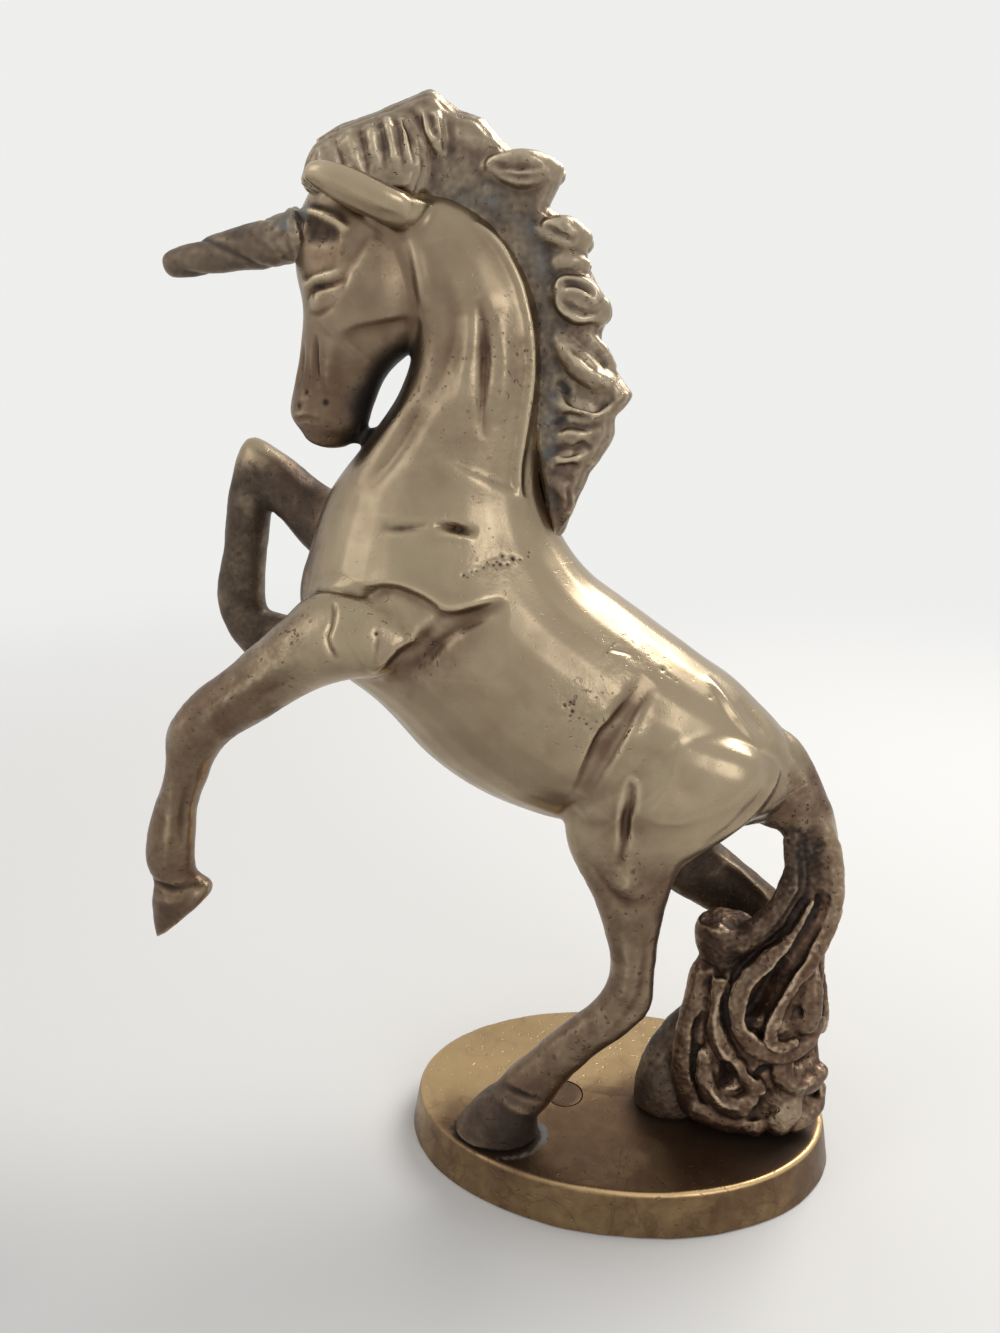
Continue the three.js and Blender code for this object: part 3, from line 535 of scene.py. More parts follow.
press(1.1, 0.9, [(-86, -7, 233), (-82.3, -9, 234.4), (-77, -11, 235.6), (-72.1, -12, 236.8)])
press(0.6, -1.0, [(-84.8, -8, 230.2), (-81.5, -9, 232.7), (-76.2, -11, 233.4), (-72.6, -12, 234.6)])
swell((-81.2, -10, 229.8), 2.1, 0.9)
press(0.7, -0.5, [(-84.6, -8, 227.4), (-80.5, -10, 227), (-75.4, -12, 229)])
swell((-88, -6.5, 205.6), 2.4, 0.5)
figure_clay.pits([(-88.6, 205.2, 1.1), (-86.2, 208.6, 0.8), (-80.8, 205.4, 0.8)], both=True)
press(0.7, -0.5, [(-90.4, -4, 201.6), (-86, -7, 202.2), (-82, -8, 201.4)])

# Ears: a broad plane that faces up, an underside that carries painted shade, and a rounded lobe
fold(3.2, 0.9, (0.4, 0, 1), [(-81.4, -17, 257), (-74.5, -18, 254), (-66, -17, 250.4), (-57, -14, 247.6)],
     fade=0.2, soft=1.2)
press(1.9, 0.7, [(-80, -16, 258.6), (-71, -16, 256.6), (-62.4, -15, 252.8), (-55, -14, 250.4)], fade=0.15)
swell((-55.6, -14, 248), 2.8, 0.8)

# Neck: two long hollows down each side, a bead beside the mane and a fold over the shoulder
press(3.4, -1.4, [(-51, -12, 243), (-49, -14, 233), (-47, -14, 223), (-51, -14, 211), (-61, -14, 196)])
press(1.4, -1.7, [(-41, -12, 230), (-39, -14, 221), (-39, -15, 210), (-39.5, -15, 198)])
press(2.2, 0.9, [(-36, -12, 228), (-34.5, -13, 215), (-36, -14, 202)])
press(2.4, 0.8, [(-44, -13, 226), (-44, -14, 212), (-46, -15, 200)])
press(1.3, 1.2, [(-40, -12, 251), (-33.5, -11, 244), (-29, -11, 235), (-26.5, -11, 224), (-25.5, -11, 213),
                 (-26.5, -12, 203), (-29, -13, 190), (-29, -13, 183)], fade=0.1)
press(3.0, 0.9, [(-58, -13, 210), (-66, -13, 198), (-74, -13, 188)])
press(2.2, -0.7, [(-55, -14, 206), (-62, -15, 194), (-71, -15, 184)])
fold(3.5, -0.8, (0.2, 0, 1), [(-52, -16, 195), (-43, -16, 190), (-34, -14, 186), (-28, -9, 184)])

# Shoulder and forearm: a roll of skin over the lifted leg, and a soft rough hollow behind the elbow
figure_clay.feel()
fold(5.0, 1.9, (0, 0, 1), [(-86, -13, 158.1), (-74.6, -20, 160.3), (-66, -24, 162.2), (-60.6, -25, 162.6),
                           (-53.3, -26, 160.2), (-47.2, -26, 157.1), (-42.1, -26, 158), (-37.1, -25, 159.4),
                           (-32.6, -23, 160.1)], fade=0.2, soft=1.0)
press(0.8, -0.9, [(-86, -14, 156.6), (-76.8, -20, 158.8), (-68.2, -24, 160.8), (-60.4, -26, 160.3),
                  (-54.1, -27, 158.5), (-50.1, -27, 156.4)], fade=0.15)
figure_clay.feel()
fold(4.5, 1.7, (-0.8, 0, 0.6), [(-50, -27, 156), (-53.8, -29, 152.6), (-56.8, -30, 147.6),
                                (-61.1, -30, 142.7), (-65.9, -28, 139.2)], soft=1.3)
press(1.9, -1.3, [(-33, -24, 159), (-41.2, -25, 155.1), (-47.3, -26, 151.5), (-53.4, -27, 145.8),
                  (-59.8, -27, 140.2)], fade=0.3)
press(4.4, -1.5, [(-45, -26, 152), (-52, -27, 146), (-58, -27, 140), (-63, -26, 134)], fade=0.5)
press(0.7, -0.9, [(-76, -27, 160.5), (-75.2, -29, 154.8), (-76, -31, 150.6), (-73.8, -31, 145.4)],
      fade=0.15)
press(0.5, -0.4, [(-63.9, -30, 151.6), (-63.8, -30, 149.4), (-64.7, -30, 144.1)], both=False)
press(1.8, 0.9, [(-83, -31, 146), (-95, -30, 140), (-106, -29, 132), (-113, -28, 125)])
press(2.4, -0.8, [(-80, -30, 142), (-92, -29, 136), (-103, -28, 128)])
swell((-119, -25, 121), 4.5, 1.0)
swell((-113, -27, 126), 3.0, -0.7)
press(1.1, -1.1, [(-64.4, -20, 177), (-60.1, -20, 176.5), (-56.2, -20, 177), (-52.4, -20, 177.2)],
      both=False)
press(0.9, -1.9, [(-51, -20, 177.4), (-46.9, -20, 177.4), (-43.9, -20, 176.6), (-40.2, -20, 176)],
      both=False)
press(0.9, 0.5, [(-51, -20, 175.4), (-46.4, -20, 174.8), (-40.8, -20, 174.2)], both=False)
press(0.5, -0.3, [(-43, -18, 166.5), (-38.3, -18, 167.9), (-33.7, -18, 169.4), (-27.9, -18, 170)],
      both=False)
figure_clay.pits([(-64, 152.6, 0.6), (-43.1, 166.5, 0.5), (-42.4, 166.1, 0.4), (-41.2, 167.1, 0.4),
                  (-39.9, 167.4, 0.4), (-38.3, 167.9, 0.4), (-36, 168.3, 0.5), (-35.2, 169.3, 0.4),
                  (-34.4, 168.8, 0.6), (-33.7, 170.2, 0.5), (-32.6, 168.6, 0.5), (-31.4, 169.6, 0.6),
                  (-29.8, 169.3, 0.4), (-27.9, 170, 0.4), (-27.6, 170.9, 0.4)])

# Croup, flank and thigh: a shield with a rounded lower edge, and a brown groove in front of it
press(3.0, -1.9, [(2, -18, 139.4), (-2.6, -22, 133.1), (-5.7, -26, 128.3), (-9.3, -27, 121.3),
                  (-14, -26, 110)], power=2.8, fade=0.35)
figure_clay.feel()
press(3.0, 0.5, [(5, -22, 136), (1, -26, 126), (-4, -28, 116), (-8, -27, 107)])
press(0.6, -0.5, [(2.5, -20, 136.7), (-1.1, -24, 131.8), (-3.8, -27, 126.7), (-7.3, -28, 119.7),
                  (-11, -27, 110.7)])
press(0.7, -0.8, [(-1.3, -19, 137.3), (-5.4, -22, 132), (-8.6, -26, 127.1), (-12.2, -26, 119.7),
                  (-15.9, -25, 109.5)])
swell((6.4, -27, 121), 4.5, -0.7)
swell((13.4, -27, 114), 4.5, -0.7)
swell((24, -20, 117), 6, 0.6)
fold(5, 1.1, (0.1, 0, 1), [(-18, -24, 105.7), (-12.8, -26, 103.1), (-4.9, -28, 104.6)], soft=2.4)
fold(6.5, 1.5, (-0.3, 0, 1), [(31.3, -15, 120.1), (29.4, -18, 115.4), (24.1, -22, 109.6), (16.4, -25, 106),
                              (8.7, -27, 104.1), (2.8, -28, 105.6), (-0.2, -28, 108.6)], fade=0.12,
                              soft=3.0)
press(1.3, 1.1, [(18, -9, 139.4), (21.4, -12, 136), (25, -14, 131.6), (28.4, -14, 127), (31.8, -14, 121.1)])
press(2.2, -0.7, [(27, -9, 133), (32, -10, 127), (35, -10, 121)])
press(3.0, -1.2, [(37, -14, 120), (34, -18, 112), (27, -22, 103), (18, -24, 96)])
press(1.2, -1.8, [(-0.6, -28, 115), (-1.2, -29, 110), (-2.1, -29, 103.6), (-2.4, -28, 96.6), (-3, -27, 91)])
press(0.9, 0.5, [(-4, -28, 104), (-3.4, -28, 110), (-1, -28, 116), (1, -28, 112), (1.2, -28, 106)])
swell((-1.6, -27, 86.6), 3.4, 1.2)
press(1.8, -0.8, [(-14, -23, 93), (-9, -25, 89), (-3, -27, 81), (5, -26, 82), (10, -24, 88)])
press(1.8, 0.7, [(38, -8, 120), (45, -8, 112), (51, -6, 100)])
press(0.5, -0.35, [(-8.4, -22, 147.4), (-5.7, -21, 149.2), (-2.6, -20, 148.6), (0.6, -19, 147.4)],
      both=False)
figure_clay.pits([(6.5, 142.1, 0.6), (7.6, 140.9, 0.4), (8.6, 140.3, 0.4), (10, 139.4, 0.4),
                  (-7.9, 147.2, 0.4), (-16.2, 136.1, 0.5), (-15.4, 135.4, 0.4), (-15.2, 133.8, 0.6),
                  (-16.1, 133, 0.4), (-17.6, 135.5, 0.4), (-13.6, 132, 0.4), (-11.7, 130.6, 0.5),
                  (-10.7, 129.3, 0.4), (-9.4, 131.1, 0.4), (18.9, 134.5, 0.4)])

# Legs: sinews, joints, coronets and heels
figure_clay.feel()
press(1.5, 0.7, [(-2, -24, 72), (0, -25, 62), (-1, -24, 52), (-9, -25, 40)])
press(1.4, -0.8, [(4, -23, 72), (4.5, -24, 62), (3, -24, 50), (-5, -24, 38)])
for width, height, route in (
    (0.9, -1.0, [(-34, -24, 19), (-30, -27, 19), (-26, -27, 17.5), (-22, -25, 16)]),
    (1.6, 0.8, [(-36, -24, 16.5), (-31, -28, 15), (-26, -28, 13), (-22, -25, 11)]),
    (0.9, -1.0, [(-133, -23, 78), (-129, -26, 76.5), (-124, -26, 76), (-119, -23, 78)]),
    (1.4, 0.6, [(-134, -23, 74), (-128, -27, 72.5), (-122, -26, 73)]),
    (1.3, 0.6, [(-122, -27, 112), (-124, -26, 100), (-126, -26, 90), (-127, -26, 82)]),
    (1.2, -0.7, [(-119, -25, 108), (-121, -25, 98), (-122.5, -25, 88)]),
    (1.2, 1.2, [(25, 11, 79), (32, 12, 73), (38, 12, 67.5), (43, 13, 61)]),
):
    press(width, height, route, both=False)
figure_clay.smooth(2)

# Sand-cast skin: quiet on the polished body, uneven and brown on the legs and muzzle
x, y, z = figure_clay.points.T
leg_share = np.clip((98 - z) / 14, 0, 1) + np.clip((-80 - x) / 12, 0, 1) * np.clip((195 - z) / 9, 0, 1)
leg_share = np.clip(leg_share, 0, 1)
far_share = leg_share * np.clip(y / 6 + 0.4, 0, 1)
figure_clay.rough += leg_share * 0.6
figure_clay.brown += 0.2 + leg_share * 0.6
figure_clay.black += leg_share * 0.2 + far_share * 0.5
# Brown stains on the muzzle, the legs, the grooves and round the tail root, painted shade that dims the
# cheek, the neck and the lower barrel, and painted highlight, as stains below zero, that lightens the tops
# of the ears and the upper hindquarters
figure_clay.stain(figure_clay.brown, [
    ((-84, 0, 205), 16, 0.55), ((-88, -6, 172), 14, 0.2), ((-78, -8, 240), 15, 0.35),
    ((-60, -12, 225), 14, 0.2), ((-50, -12, 212), 24, 0.25), ((-42, -12, 240), 14, 0.15),
    ((-35, -24, 125), 20, 0.15), ((0, -26, 96), 12, 0.2), ((50, -6, 92), 18, 0.5), ((44, -6, 106), 9, 0.1),
    ((-106, 22, 192), 5, -0.3), ((-30, -22, 8), 18, 0.4), ((-126, -21, 66), 14, 0.3),
    ((-42, -26, 154), 5, 0.5), ((-50, -27, 148), 7, 0.6), ((-58, -27, 140), 7, 0.5),
    ((-2, -22, 133), 5, 0.5), ((-7, -27, 124), 5, 0.6), ((-12, -27, 114), 5, 0.5), ((-2, -28, 104), 5, 0.5),
    ((14, -2, 8), 22, 0.5), ((-70, -16, 258), 6, -0.4), ((-78, -16, 260), 5, -0.3),
    ((20, -16, 128), 12, -0.3),
])
# Black on the hooves, the legs and the slits, and painted shade: a shadow under the jaw, shade under the
# ears and in the recess above the eye
figure_clay.stain(figure_clay.black, [
    ((-32, -22, 6), 14, 0.85), ((-12, -19, 38), 14, 0.2), ((-126, -21, 66), 11, 0.45),
    ((-70, 0, 204), 9, 0.8), ((-64, 0, 216), 8, 0.7), ((-76, 0, 192), 7, 0.4), ((-62, -8, 220), 5, 0.3),
    ((-50, -27, 149), 7, 0.25), ((-58, -27, 140), 6, 0.25), ((-82, -10, 252.6), 4.5, 0.55),
    ((-75, -12, 250), 4.5, 0.5), ((-71, -15, 249), 4, 0.4), ((-62, -14, 245.4), 4, 0.4),
    ((-82, -9, 245.8), 4, 0.5), ((-77, -10, 244.6), 3, 0.35), ((-80, -10, 233), 2.4, 0.35),
    ((-60, -21, 176.6), 3.4, 0.45), ((-45.4, -21, 176.9), 2.2, 0.6), ((52, -8, 84), 10, 0.4),
    ((14, -2, 8), 20, 0.3), ((30, 12, 76), 3, -0.6), ((36, 12, 70), 3, -0.6), ((42, 13, 63), 3, -0.6),
])
figure_clay.stain(figure_clay.crust, [
    ((-76, -3, 200), 4, 0.5), ((-85, -8, 251), 4, 0.9), ((-77, -12, 251.4), 4, 0.6), ((30, 12, 76), 2, 0.5),
    ((37, 12, 69), 2, 0.5),
])
figure_clay.stain(figure_clay.rough, [
    ((-82, -8, 205), 10, 0.5), ((-78, -10, 240), 10, 0.4), ((-45, -12, 205), 20, 0.3),
    ((-30, -12, 218), 9, 0.5), ((0, -20, 145), 8, 0.6), ((-15, -26, 133), 7, 0.9),
    ((-36, -20, 169), 7, 0.5), ((-84, -28, 149), 10, 0.6), ((-52, -26, 147), 9, 0.6),
    ((-2, -28, 96), 6, 0.6), ((50, -6, 98), 10, 0.9), ((43, -6, 108), 9, 0.6), ((-66, -26, 158), 8, 0.4),
    ((-2, -27, 86), 5, 0.7), ((14, -2, 8), 20, 0.5), ((-84, -8, 251), 6, 0.6), ((-6, -26, 126), 9, 0.5),
])
figure_clay.feel()
figure_clay.tuck()
as_cast = np.clip(figure_clay.rough, 0, 1)
figure_clay.lumps(5, 0.3, as_cast)
figure_clay.lumps(1.6, 0.1, as_cast)
figure_clay.lumps(14, 0.35)
figure_clay.keep()


class Tone:
    """A value that changes over a surface. Sums and products of tones add their maths to the finish."""

    def __init__(self, tree, kind, sockets, out=0, **settings):
        """The output of a new node, with tones, numbers or colours on its sockets."""
        plain = {slot: value.socket if isinstance(value, Tone) else value for slot, value in sockets.items()}
        self.tree = tree
        self.socket = wire(tree, kind, plain, **settings)[out]

    def maths(self, operation, *others):
        """This tone and others put through one operation."""
        return Tone(self.tree, "ShaderNodeMath", dict(enumerate((self, *others))), operation=operation)

    def __add__(self, other):
        return self.maths("ADD", other)

    def __mul__(self, other):
        return self.maths("MULTIPLY", other)

    def __sub__(self, other):
        return self.maths("SUBTRACT", other)

    def __rsub__(self, other):
        return self.maths("MULTIPLY", -1.0).maths("ADD", other)

    def between(self, low, high):
        """0 below the low value, 1 above the high one, and smooth between them."""
        sockets = {"Value": self, "From Min": low, "From Max": high}
        return Tone(self.tree, "ShaderNodeMapRange", sockets, "Result", interpolation_type="SMOOTHSTEP")


class Finish:
    """A material that is put together from named tones."""

    def __init__(self, name):
        self.material = bpy.data.materials.new(name)
        self.material.use_nodes = True
        self.tree = self.material.node_tree
        self.places = Tone(self.tree, "ShaderNodeTexCoord", {}, "Object")

    def give(self, name, value):
        """Sets one property of the surface to a tone or a number."""
        socket = self.tree.nodes["Principled BSDF"].inputs[name]
        feed(self.tree, socket, value.socket if isinstance(value, Tone) else value)

    def painted(self, name):
        """What is painted on the skin under a name."""
        return Tone(self.tree, "ShaderNodeAttribute", {}, "Fac", attribute_name=name)

    def cloud(self, size, detail, uneven=0.0):
        """Soft clouds of the given size, in metres."""
        sockets = {"Vector": self.places, "Scale": 1 / size, "Detail": detail, "Distortion": uneven}
        return Tone(self.tree, "ShaderNodeTexNoise", sockets)

    def blend(self, share, first, second):
        """Two colours mixed by a share."""
        return Tone(self.tree, "ShaderNodeMix", {"Factor": share, 6: first, 7: second}, 2, data_type="RGBA")

    def relief(self, height, depth):
        """Fine bumps of the given depth, in metres."""
        sockets = {"Height": height, "Distance": depth, "Strength": 1.0}
        self.give("Normal", Tone(self.tree, "ShaderNodeBump", sockets, "Normal"))


def aged_brass(name, polished, brown, grime_and_shade, shine, pitting, tide=0.0):
    """Cast brass, bright where hands and polish reach it, with a painted glint on its ridges, and brown to
    black where they don't reach it and where painted shade and reflection lie.
    """
    finish = Finish(name)
    hollow_and_shade = finish.painted("hollow_and_shade")
    worn_and_glint = finish.painted("worn_and_glint")
    rough = finish.painted("rough")
    brown_paint = finish.painted("brown")
    soot_and_shade = finish.painted("black")
    blotches = finish.cloud(0.022, 3.0, 0.6)
    smudges = finish.cloud(0.006, 5.0, 0.4)
    grains = finish.cloud(0.0009, 3.0)
    pores = finish.cloud(0.0016, 2.0).between(0.64, 0.72)
    # Brown tarnish, which also carries the painted shade and reflection that are put into the paint
    tarnish_and_shade = brown_paint + hollow_and_shade * 0.9 + (blotches - 0.5) * 0.7 + (smudges - 0.5) * (rough * 0.7 + 0.35)
    tarnish_and_shade = tarnish_and_shade - worn_and_glint * 0.5
    if tide:
        tarnish_and_shade += (1.0 - (finish.cloud(0.02, 5.0, 1.4) - 0.5).maths("ABSOLUTE").between(0.0, 0.03)) * tide
    tarnish_and_shade = tarnish_and_shade.between(-0.1, 1.1)
    # Black grime in hollows and where black is painted, which also carries painted shade under the jaw,
    # under the ears and round the feet on the base
    dirt_and_shade = hollow_and_shade * 0.8 + soot_and_shade + (smudges - 0.5) * 0.4 + rough * 0.1 - worn_and_glint * (0.5 - soot_and_shade * 0.2)
    dirt_and_shade = dirt_and_shade.between(0.25, 1.1)
    open_pores = pores * (rough * 0.8 + 0.05)
    # Ridges rubbed bright by wear, and a painted glint on them that is lighter than the polished brass
    wear_and_glint = (worn_and_glint - soot_and_shade * 0.3).between(0.25, 1.0) * 0.75
    crust = (finish.painted("crust") + (smudges - 0.5) * 0.8).between(0.35, 0.75)
    colour = finish.blend(tarnish_and_shade, polished, brown)
    colour = finish.blend(dirt_and_shade, colour, grime_and_shade)
    colour = finish.blend(wear_and_glint, colour, tuple(shade * 1.5 for shade in polished))
    colour = finish.blend(open_pores * 0.7, colour, grime_and_shade)
    colour = finish.blend(crust * 0.8, colour, (0.17, 0.185, 0.19))
    finish.give("Base Color", colour)
    finish.give("Metallic", 1.0 - dirt_and_shade * 0.35 - crust * 0.6)
    finish.give("Roughness", tarnish_and_shade * 0.12 + dirt_and_shade * 0.16 + crust * 0.2 + (smudges - 0.5) * 0.14 + shine)
    finish.relief(grains * (rough + 0.12) - open_pores * 3.0, pitting)
    return finish.material


# Castings of the figure
# The one skin is sawn into the castings that the founder joined: head with neck, torso, hindquarters and
# four legs. Each leg keeps a root inside the casting that carries it.
body_brass = aged_brass("body_brass", (0.375, 0.3, 0.2), (0.14, 0.088, 0.057), (0.026, 0.019, 0.016),
                        shine=0.27, pitting=0.00012)


def saw(piece, tool, keep):
    """The part of a piece that lies inside a tool (INTERSECT) or outside it (DIFFERENCE)."""
    made = bpy.data.objects.new(piece.name, piece.data.copy())
    bpy.context.scene.collection.objects.link(made)
    trim = made.modifiers.new("saw", "BOOLEAN")
    trim.operation = keep
    trim.solver = "MANIFOLD"
    trim.object = tool
    return settle(made)


def room_of(rows, seam=None, grow=1.5):
    """The room that a loft takes up, with a little to spare, cut off at a seam if there is one."""
    bm = bmesh.new()
    add_casting(bm, rows, grow=grow, start=1, end=3)
    if seam:
        place, way = seam
        geometry = bm.verts[:] + bm.edges[:] + bm.faces[:]
        bmesh.ops.bisect_plane(bm, geom=geometry, plane_co=place, plane_no=way, clear_outer=True)
        bmesh.ops.holes_fill(bm, edges=[edge for edge in bm.edges if edge.is_boundary], sides=0)
    return as_object(bm, "room")


def half_space(place, way):
    """A large block that begins at a place and runs on in one direction."""
    reach = 600
    bm = bmesh.new()
    turn = Vector(way).to_track_quat("Z", "Y").to_matrix().to_4x4()
    block = Matrix.Translation(place) @ turn @ Matrix.Translation((0, 0, reach / 2))
    bmesh.ops.create_cube(bm, size=reach, matrix=block)
    return as_object(bm, "half_space")


def take_paint(piece, clay):
    """Copies what is painted on a whole skin to the nearest points of a piece that was sawn from it."""
    nearest = [clay.tree.find(vert.co)[1] for vert in piece.data.vertices]
    for paint, values in clay.painted.items():
        layer = piece.data.attributes.get(paint) or piece.data.attributes.new(paint, "FLOAT", "POINT")
        layer.data.foreach_set("value", values[nearest].astype(np.float32))


def mount(piece, name, node, material):
    """Brings a finished piece to its place, gives it its finish and sets it on the frame for its node."""
    piece.name = name
    piece.data.name = name
    piece.data.transform(to_row)
    piece.data.materials.clear()
    piece.data.materials.append(material)
    piece.data.polygons.foreach_set("use_smooth", np.ones(len(piece.data.polygons), bool))
    piece.data.set_sharp_from_angle(angle=math.radians(50))
    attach(piece, "root")
    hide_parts(node)


leg_seams = {
    "near_hind_leg": ((-1, -17, 90), (0.1, 0, 1)),
    "far_hind_leg": ((12, 16, 84), (-0.55, 0, 0.83)),
}
castings = {}
rest = saw(figure, half_space((0, 0, 0), (0, 0, 1)), "INTERSECT")
tail_room = room_of(tail_stub_sections, ((44, 0, 108), (-0.5, 0, 0.87)), grow=4)
tail_stub = saw(rest, tail_room, "INTERSECT")
rest = saw(rest, tail_room, "DIFFERENCE")
for leg, rows in leg_rows.items():
    leg_room = room_of(rows, leg_seams.get(leg))
    castings[leg] = saw(rest, leg_room, "INTERSECT")
    rest = saw(rest, leg_room, "DIFFERENCE")
neck_cut = half_space((-55, 0, 172), (0.15, 0, 1))
loin_cut = half_space((-7, 0, 120), (-0.84, 0, 0.54))
castings["head_and_neck"] = saw(rest, neck_cut, "INTERSECT")
rest = saw(rest, neck_cut, "DIFFERENCE")
castings["torso"] = saw(rest, loin_cut, "INTERSECT")
castings["hindquarters"] = saw(rest, loin_cut, "DIFFERENCE")
for name, piece in castings.items():
    take_paint(piece, figure_clay)

# Mane
# One casting that stands on the crest of the neck. Thick soft locks stand out from its web on both sides,
# with grooves along them, and the flat margin beside the neck keeps a blue-grey crust.
mane_outline = [
    (-82, 252), (-85, 254.5), (-86, 257.5), (-84.8, 261.5), (-82, 266.5), (-76, 269.5), (-70, 271.3),
    (-63, 273.6), (-56, 276), (-53, 276.6), (-50.5, 275), (-47, 272), (-41, 270.4), (-37.2, 266),
    (-34, 263.2), (-28.8, 262), (-24, 260), (-22, 258), (-24, 255.8), (-26.6, 253.5), (-25.6, 251),
    (-21.3, 248.5), (-17.5, 246.2), (-16, 243), (-16.2, 239), (-13.8, 234), (-11.2, 230), (-10.4, 226.5),
    (-12, 222.3), (-12, 218.5), (-9, 213), (-5.5, 210), (-3.8, 207.8), (-5, 205.8), (-8.4, 202.6),
    (-8, 198.5), (-10.6, 193.5), (-14, 188.8), (-15.7, 184.5), (-18.8, 178), (-20.5, 173), (-24, 171),
    (-31, 182), (-33, 197), (-33, 213), (-36, 227), (-43, 239), (-54, 248), (-72, 249),
]
forelock_outline = [
    (-85.4, 255), (-85.6, 257.5), (-84.4, 261.5), (-81.6, 266), (-76, 268.8), (-70, 270.6), (-63, 272.6),
    (-57, 272), (-53, 266), (-52, 258), (-56, 251), (-72, 249),
]
mane_locks = [
    # Leaf behind the crest, then a broad lock and a small one under it
    [(-42, 4.6, 259.4, 1), (-37, 5.2, 259, 3), (-31.6, 5.4, 258.5, 4.4), (-26.6, 4.6, 258.4, 3.6),
     (-23.6, 3.4, 258.2, 2.2)],
    [(-29, 4.6, 245.4, 1), (-25, 5.2, 245.2, 3.2), (-20.4, 5.2, 244.4, 4), (-17.4, 4.2, 243.2, 3)],
    [(-23, 5, 238.2, 1.6), (-19.4, 5, 238.6, 2.2), (-16.4, 4, 238, 1.6)],
    # Almond in its slanted curl
    [(-24.6, 4.4, 232, 2), (-21.4, 5, 231.4, 4.4), (-17, 5, 229.4, 5.6), (-13.4, 4, 227.4, 4)],
    # Hooded point: its hood, the edge under it and a rough facet above
    [(-23, 4.2, 223, 2), (-20.4, 5, 218.6, 3), (-17, 5.4, 214.8, 3.5), (-12.6, 4.8, 211.6, 3.1),
     (-8.6, 3.2, 209.4, 2.2), (-5.4, 1.6, 208.1, 1.2)],
    [(-23, 4.6, 206.4, 2), (-18.6, 5.2, 204.4, 2.8), (-13.6, 4.6, 203.2, 2.6), (-9.4, 2.8, 204, 1.8),
     (-6.4, 1.6, 205.6, 1)],
    [(-16, 4.2, 221.6, 1.8), (-12.4, 3.6, 218.4, 2.2), (-9.4, 2.6, 214.4, 1.4)],
    # Locks down to the withers
    [(-23.6, 4.8, 197, 1.8), (-19.2, 5.2, 198, 2.4), (-14.4, 4.2, 197.6, 2.2), (-10.2, 2.8, 197.8, 1.5)],
    [(-24, 4.8, 191.4, 1.8), (-19.4, 5, 192.2, 2.4), (-15, 3.8, 192.2, 1.9), (-12.4, 2.4, 192.6, 1.3)],
    [(-23.6, 4.8, 187, 1.8), (-20.4, 5, 184.6, 2.4), (-19.6, 4.4, 180.6, 2.2), (-21.4, 3.6, 175.8, 1.4)],
    # Lock that hangs from the peak of the crest, and low lumps behind it
    [(-53.4, 4, 272.8, 1.9), (-52.2, 5.2, 268.4, 2.6), (-51, 5.4, 264.2, 2.4)],
    [(-48, 4, 269.6, 1.4), (-45, 4.6, 266, 2.2), (-41, 4.6, 264.2, 2), (-37.4, 4, 263.6, 1.2)],
]
mane_ridges = [
    (1.2, 0.8, [(-41.6, 260.6), (-37.4, 261.8), (-32, 262), (-25, 260.6)]),
    (1.2, 0.7, [(-28.4, 246.8), (-24.8, 247.8), (-19, 246.8)]),
    (1.2, 0.9, [(-25, 232.4), (-23.2, 235), (-19.4, 235.8), (-15.6, 234.6), (-12.2, 231.4), (-10.8, 228)]),
    (1.2, 0.8, [(-25, 230), (-22, 226.6), (-17.4, 224.4), (-12, 224.2)]),
    (0.9, 0.9, [(-21.6, 231.8), (-18.8, 232), (-15.6, 230.8), (-13, 228.4)]),
    (1.3, 0.9, [(-21.8, 221), (-18.6, 217), (-14.4, 213.8), (-9.6, 211), (-5.6, 209)]),
    (1.1, 0.7, [(-22, 206.8), (-17, 205.6), (-12.4, 204.6), (-7.6, 205)]),
    (1.1, 0.6, [(-23, 198.4), (-19.2, 200), (-15, 199.4), (-10.4, 199)]),
    (1.0, 0.5, [(-23.4, 192.8), (-19, 194), (-14, 193.8)]),
    (1.2, 0.7, [(-56, 273), (-54.6, 269), (-53, 264)]),
    (1.2, 0.8, [(-50.8, 273), (-49.7, 269), (-48.9, 264)]),
    (1.1, 0.6, [(-80, 266), (-78.4, 261), (-76.6, 256.6)]),
    (1.2, 0.7, [(-72.6, 269.6), (-70.6, 263), (-68.8, 256.6)]),
    (1.1, 0.5, [(-67.6, 270.8), (-66.2, 265), (-65.2, 258)]),
    (1.2, 0.7, [(-63.6, 272.2), (-61.6, 266), (-60.4, 257)]),
    (1.1, 0.6, [(-59.6, 273.4), (-58.2, 267), (-57.2, 259)]),
]
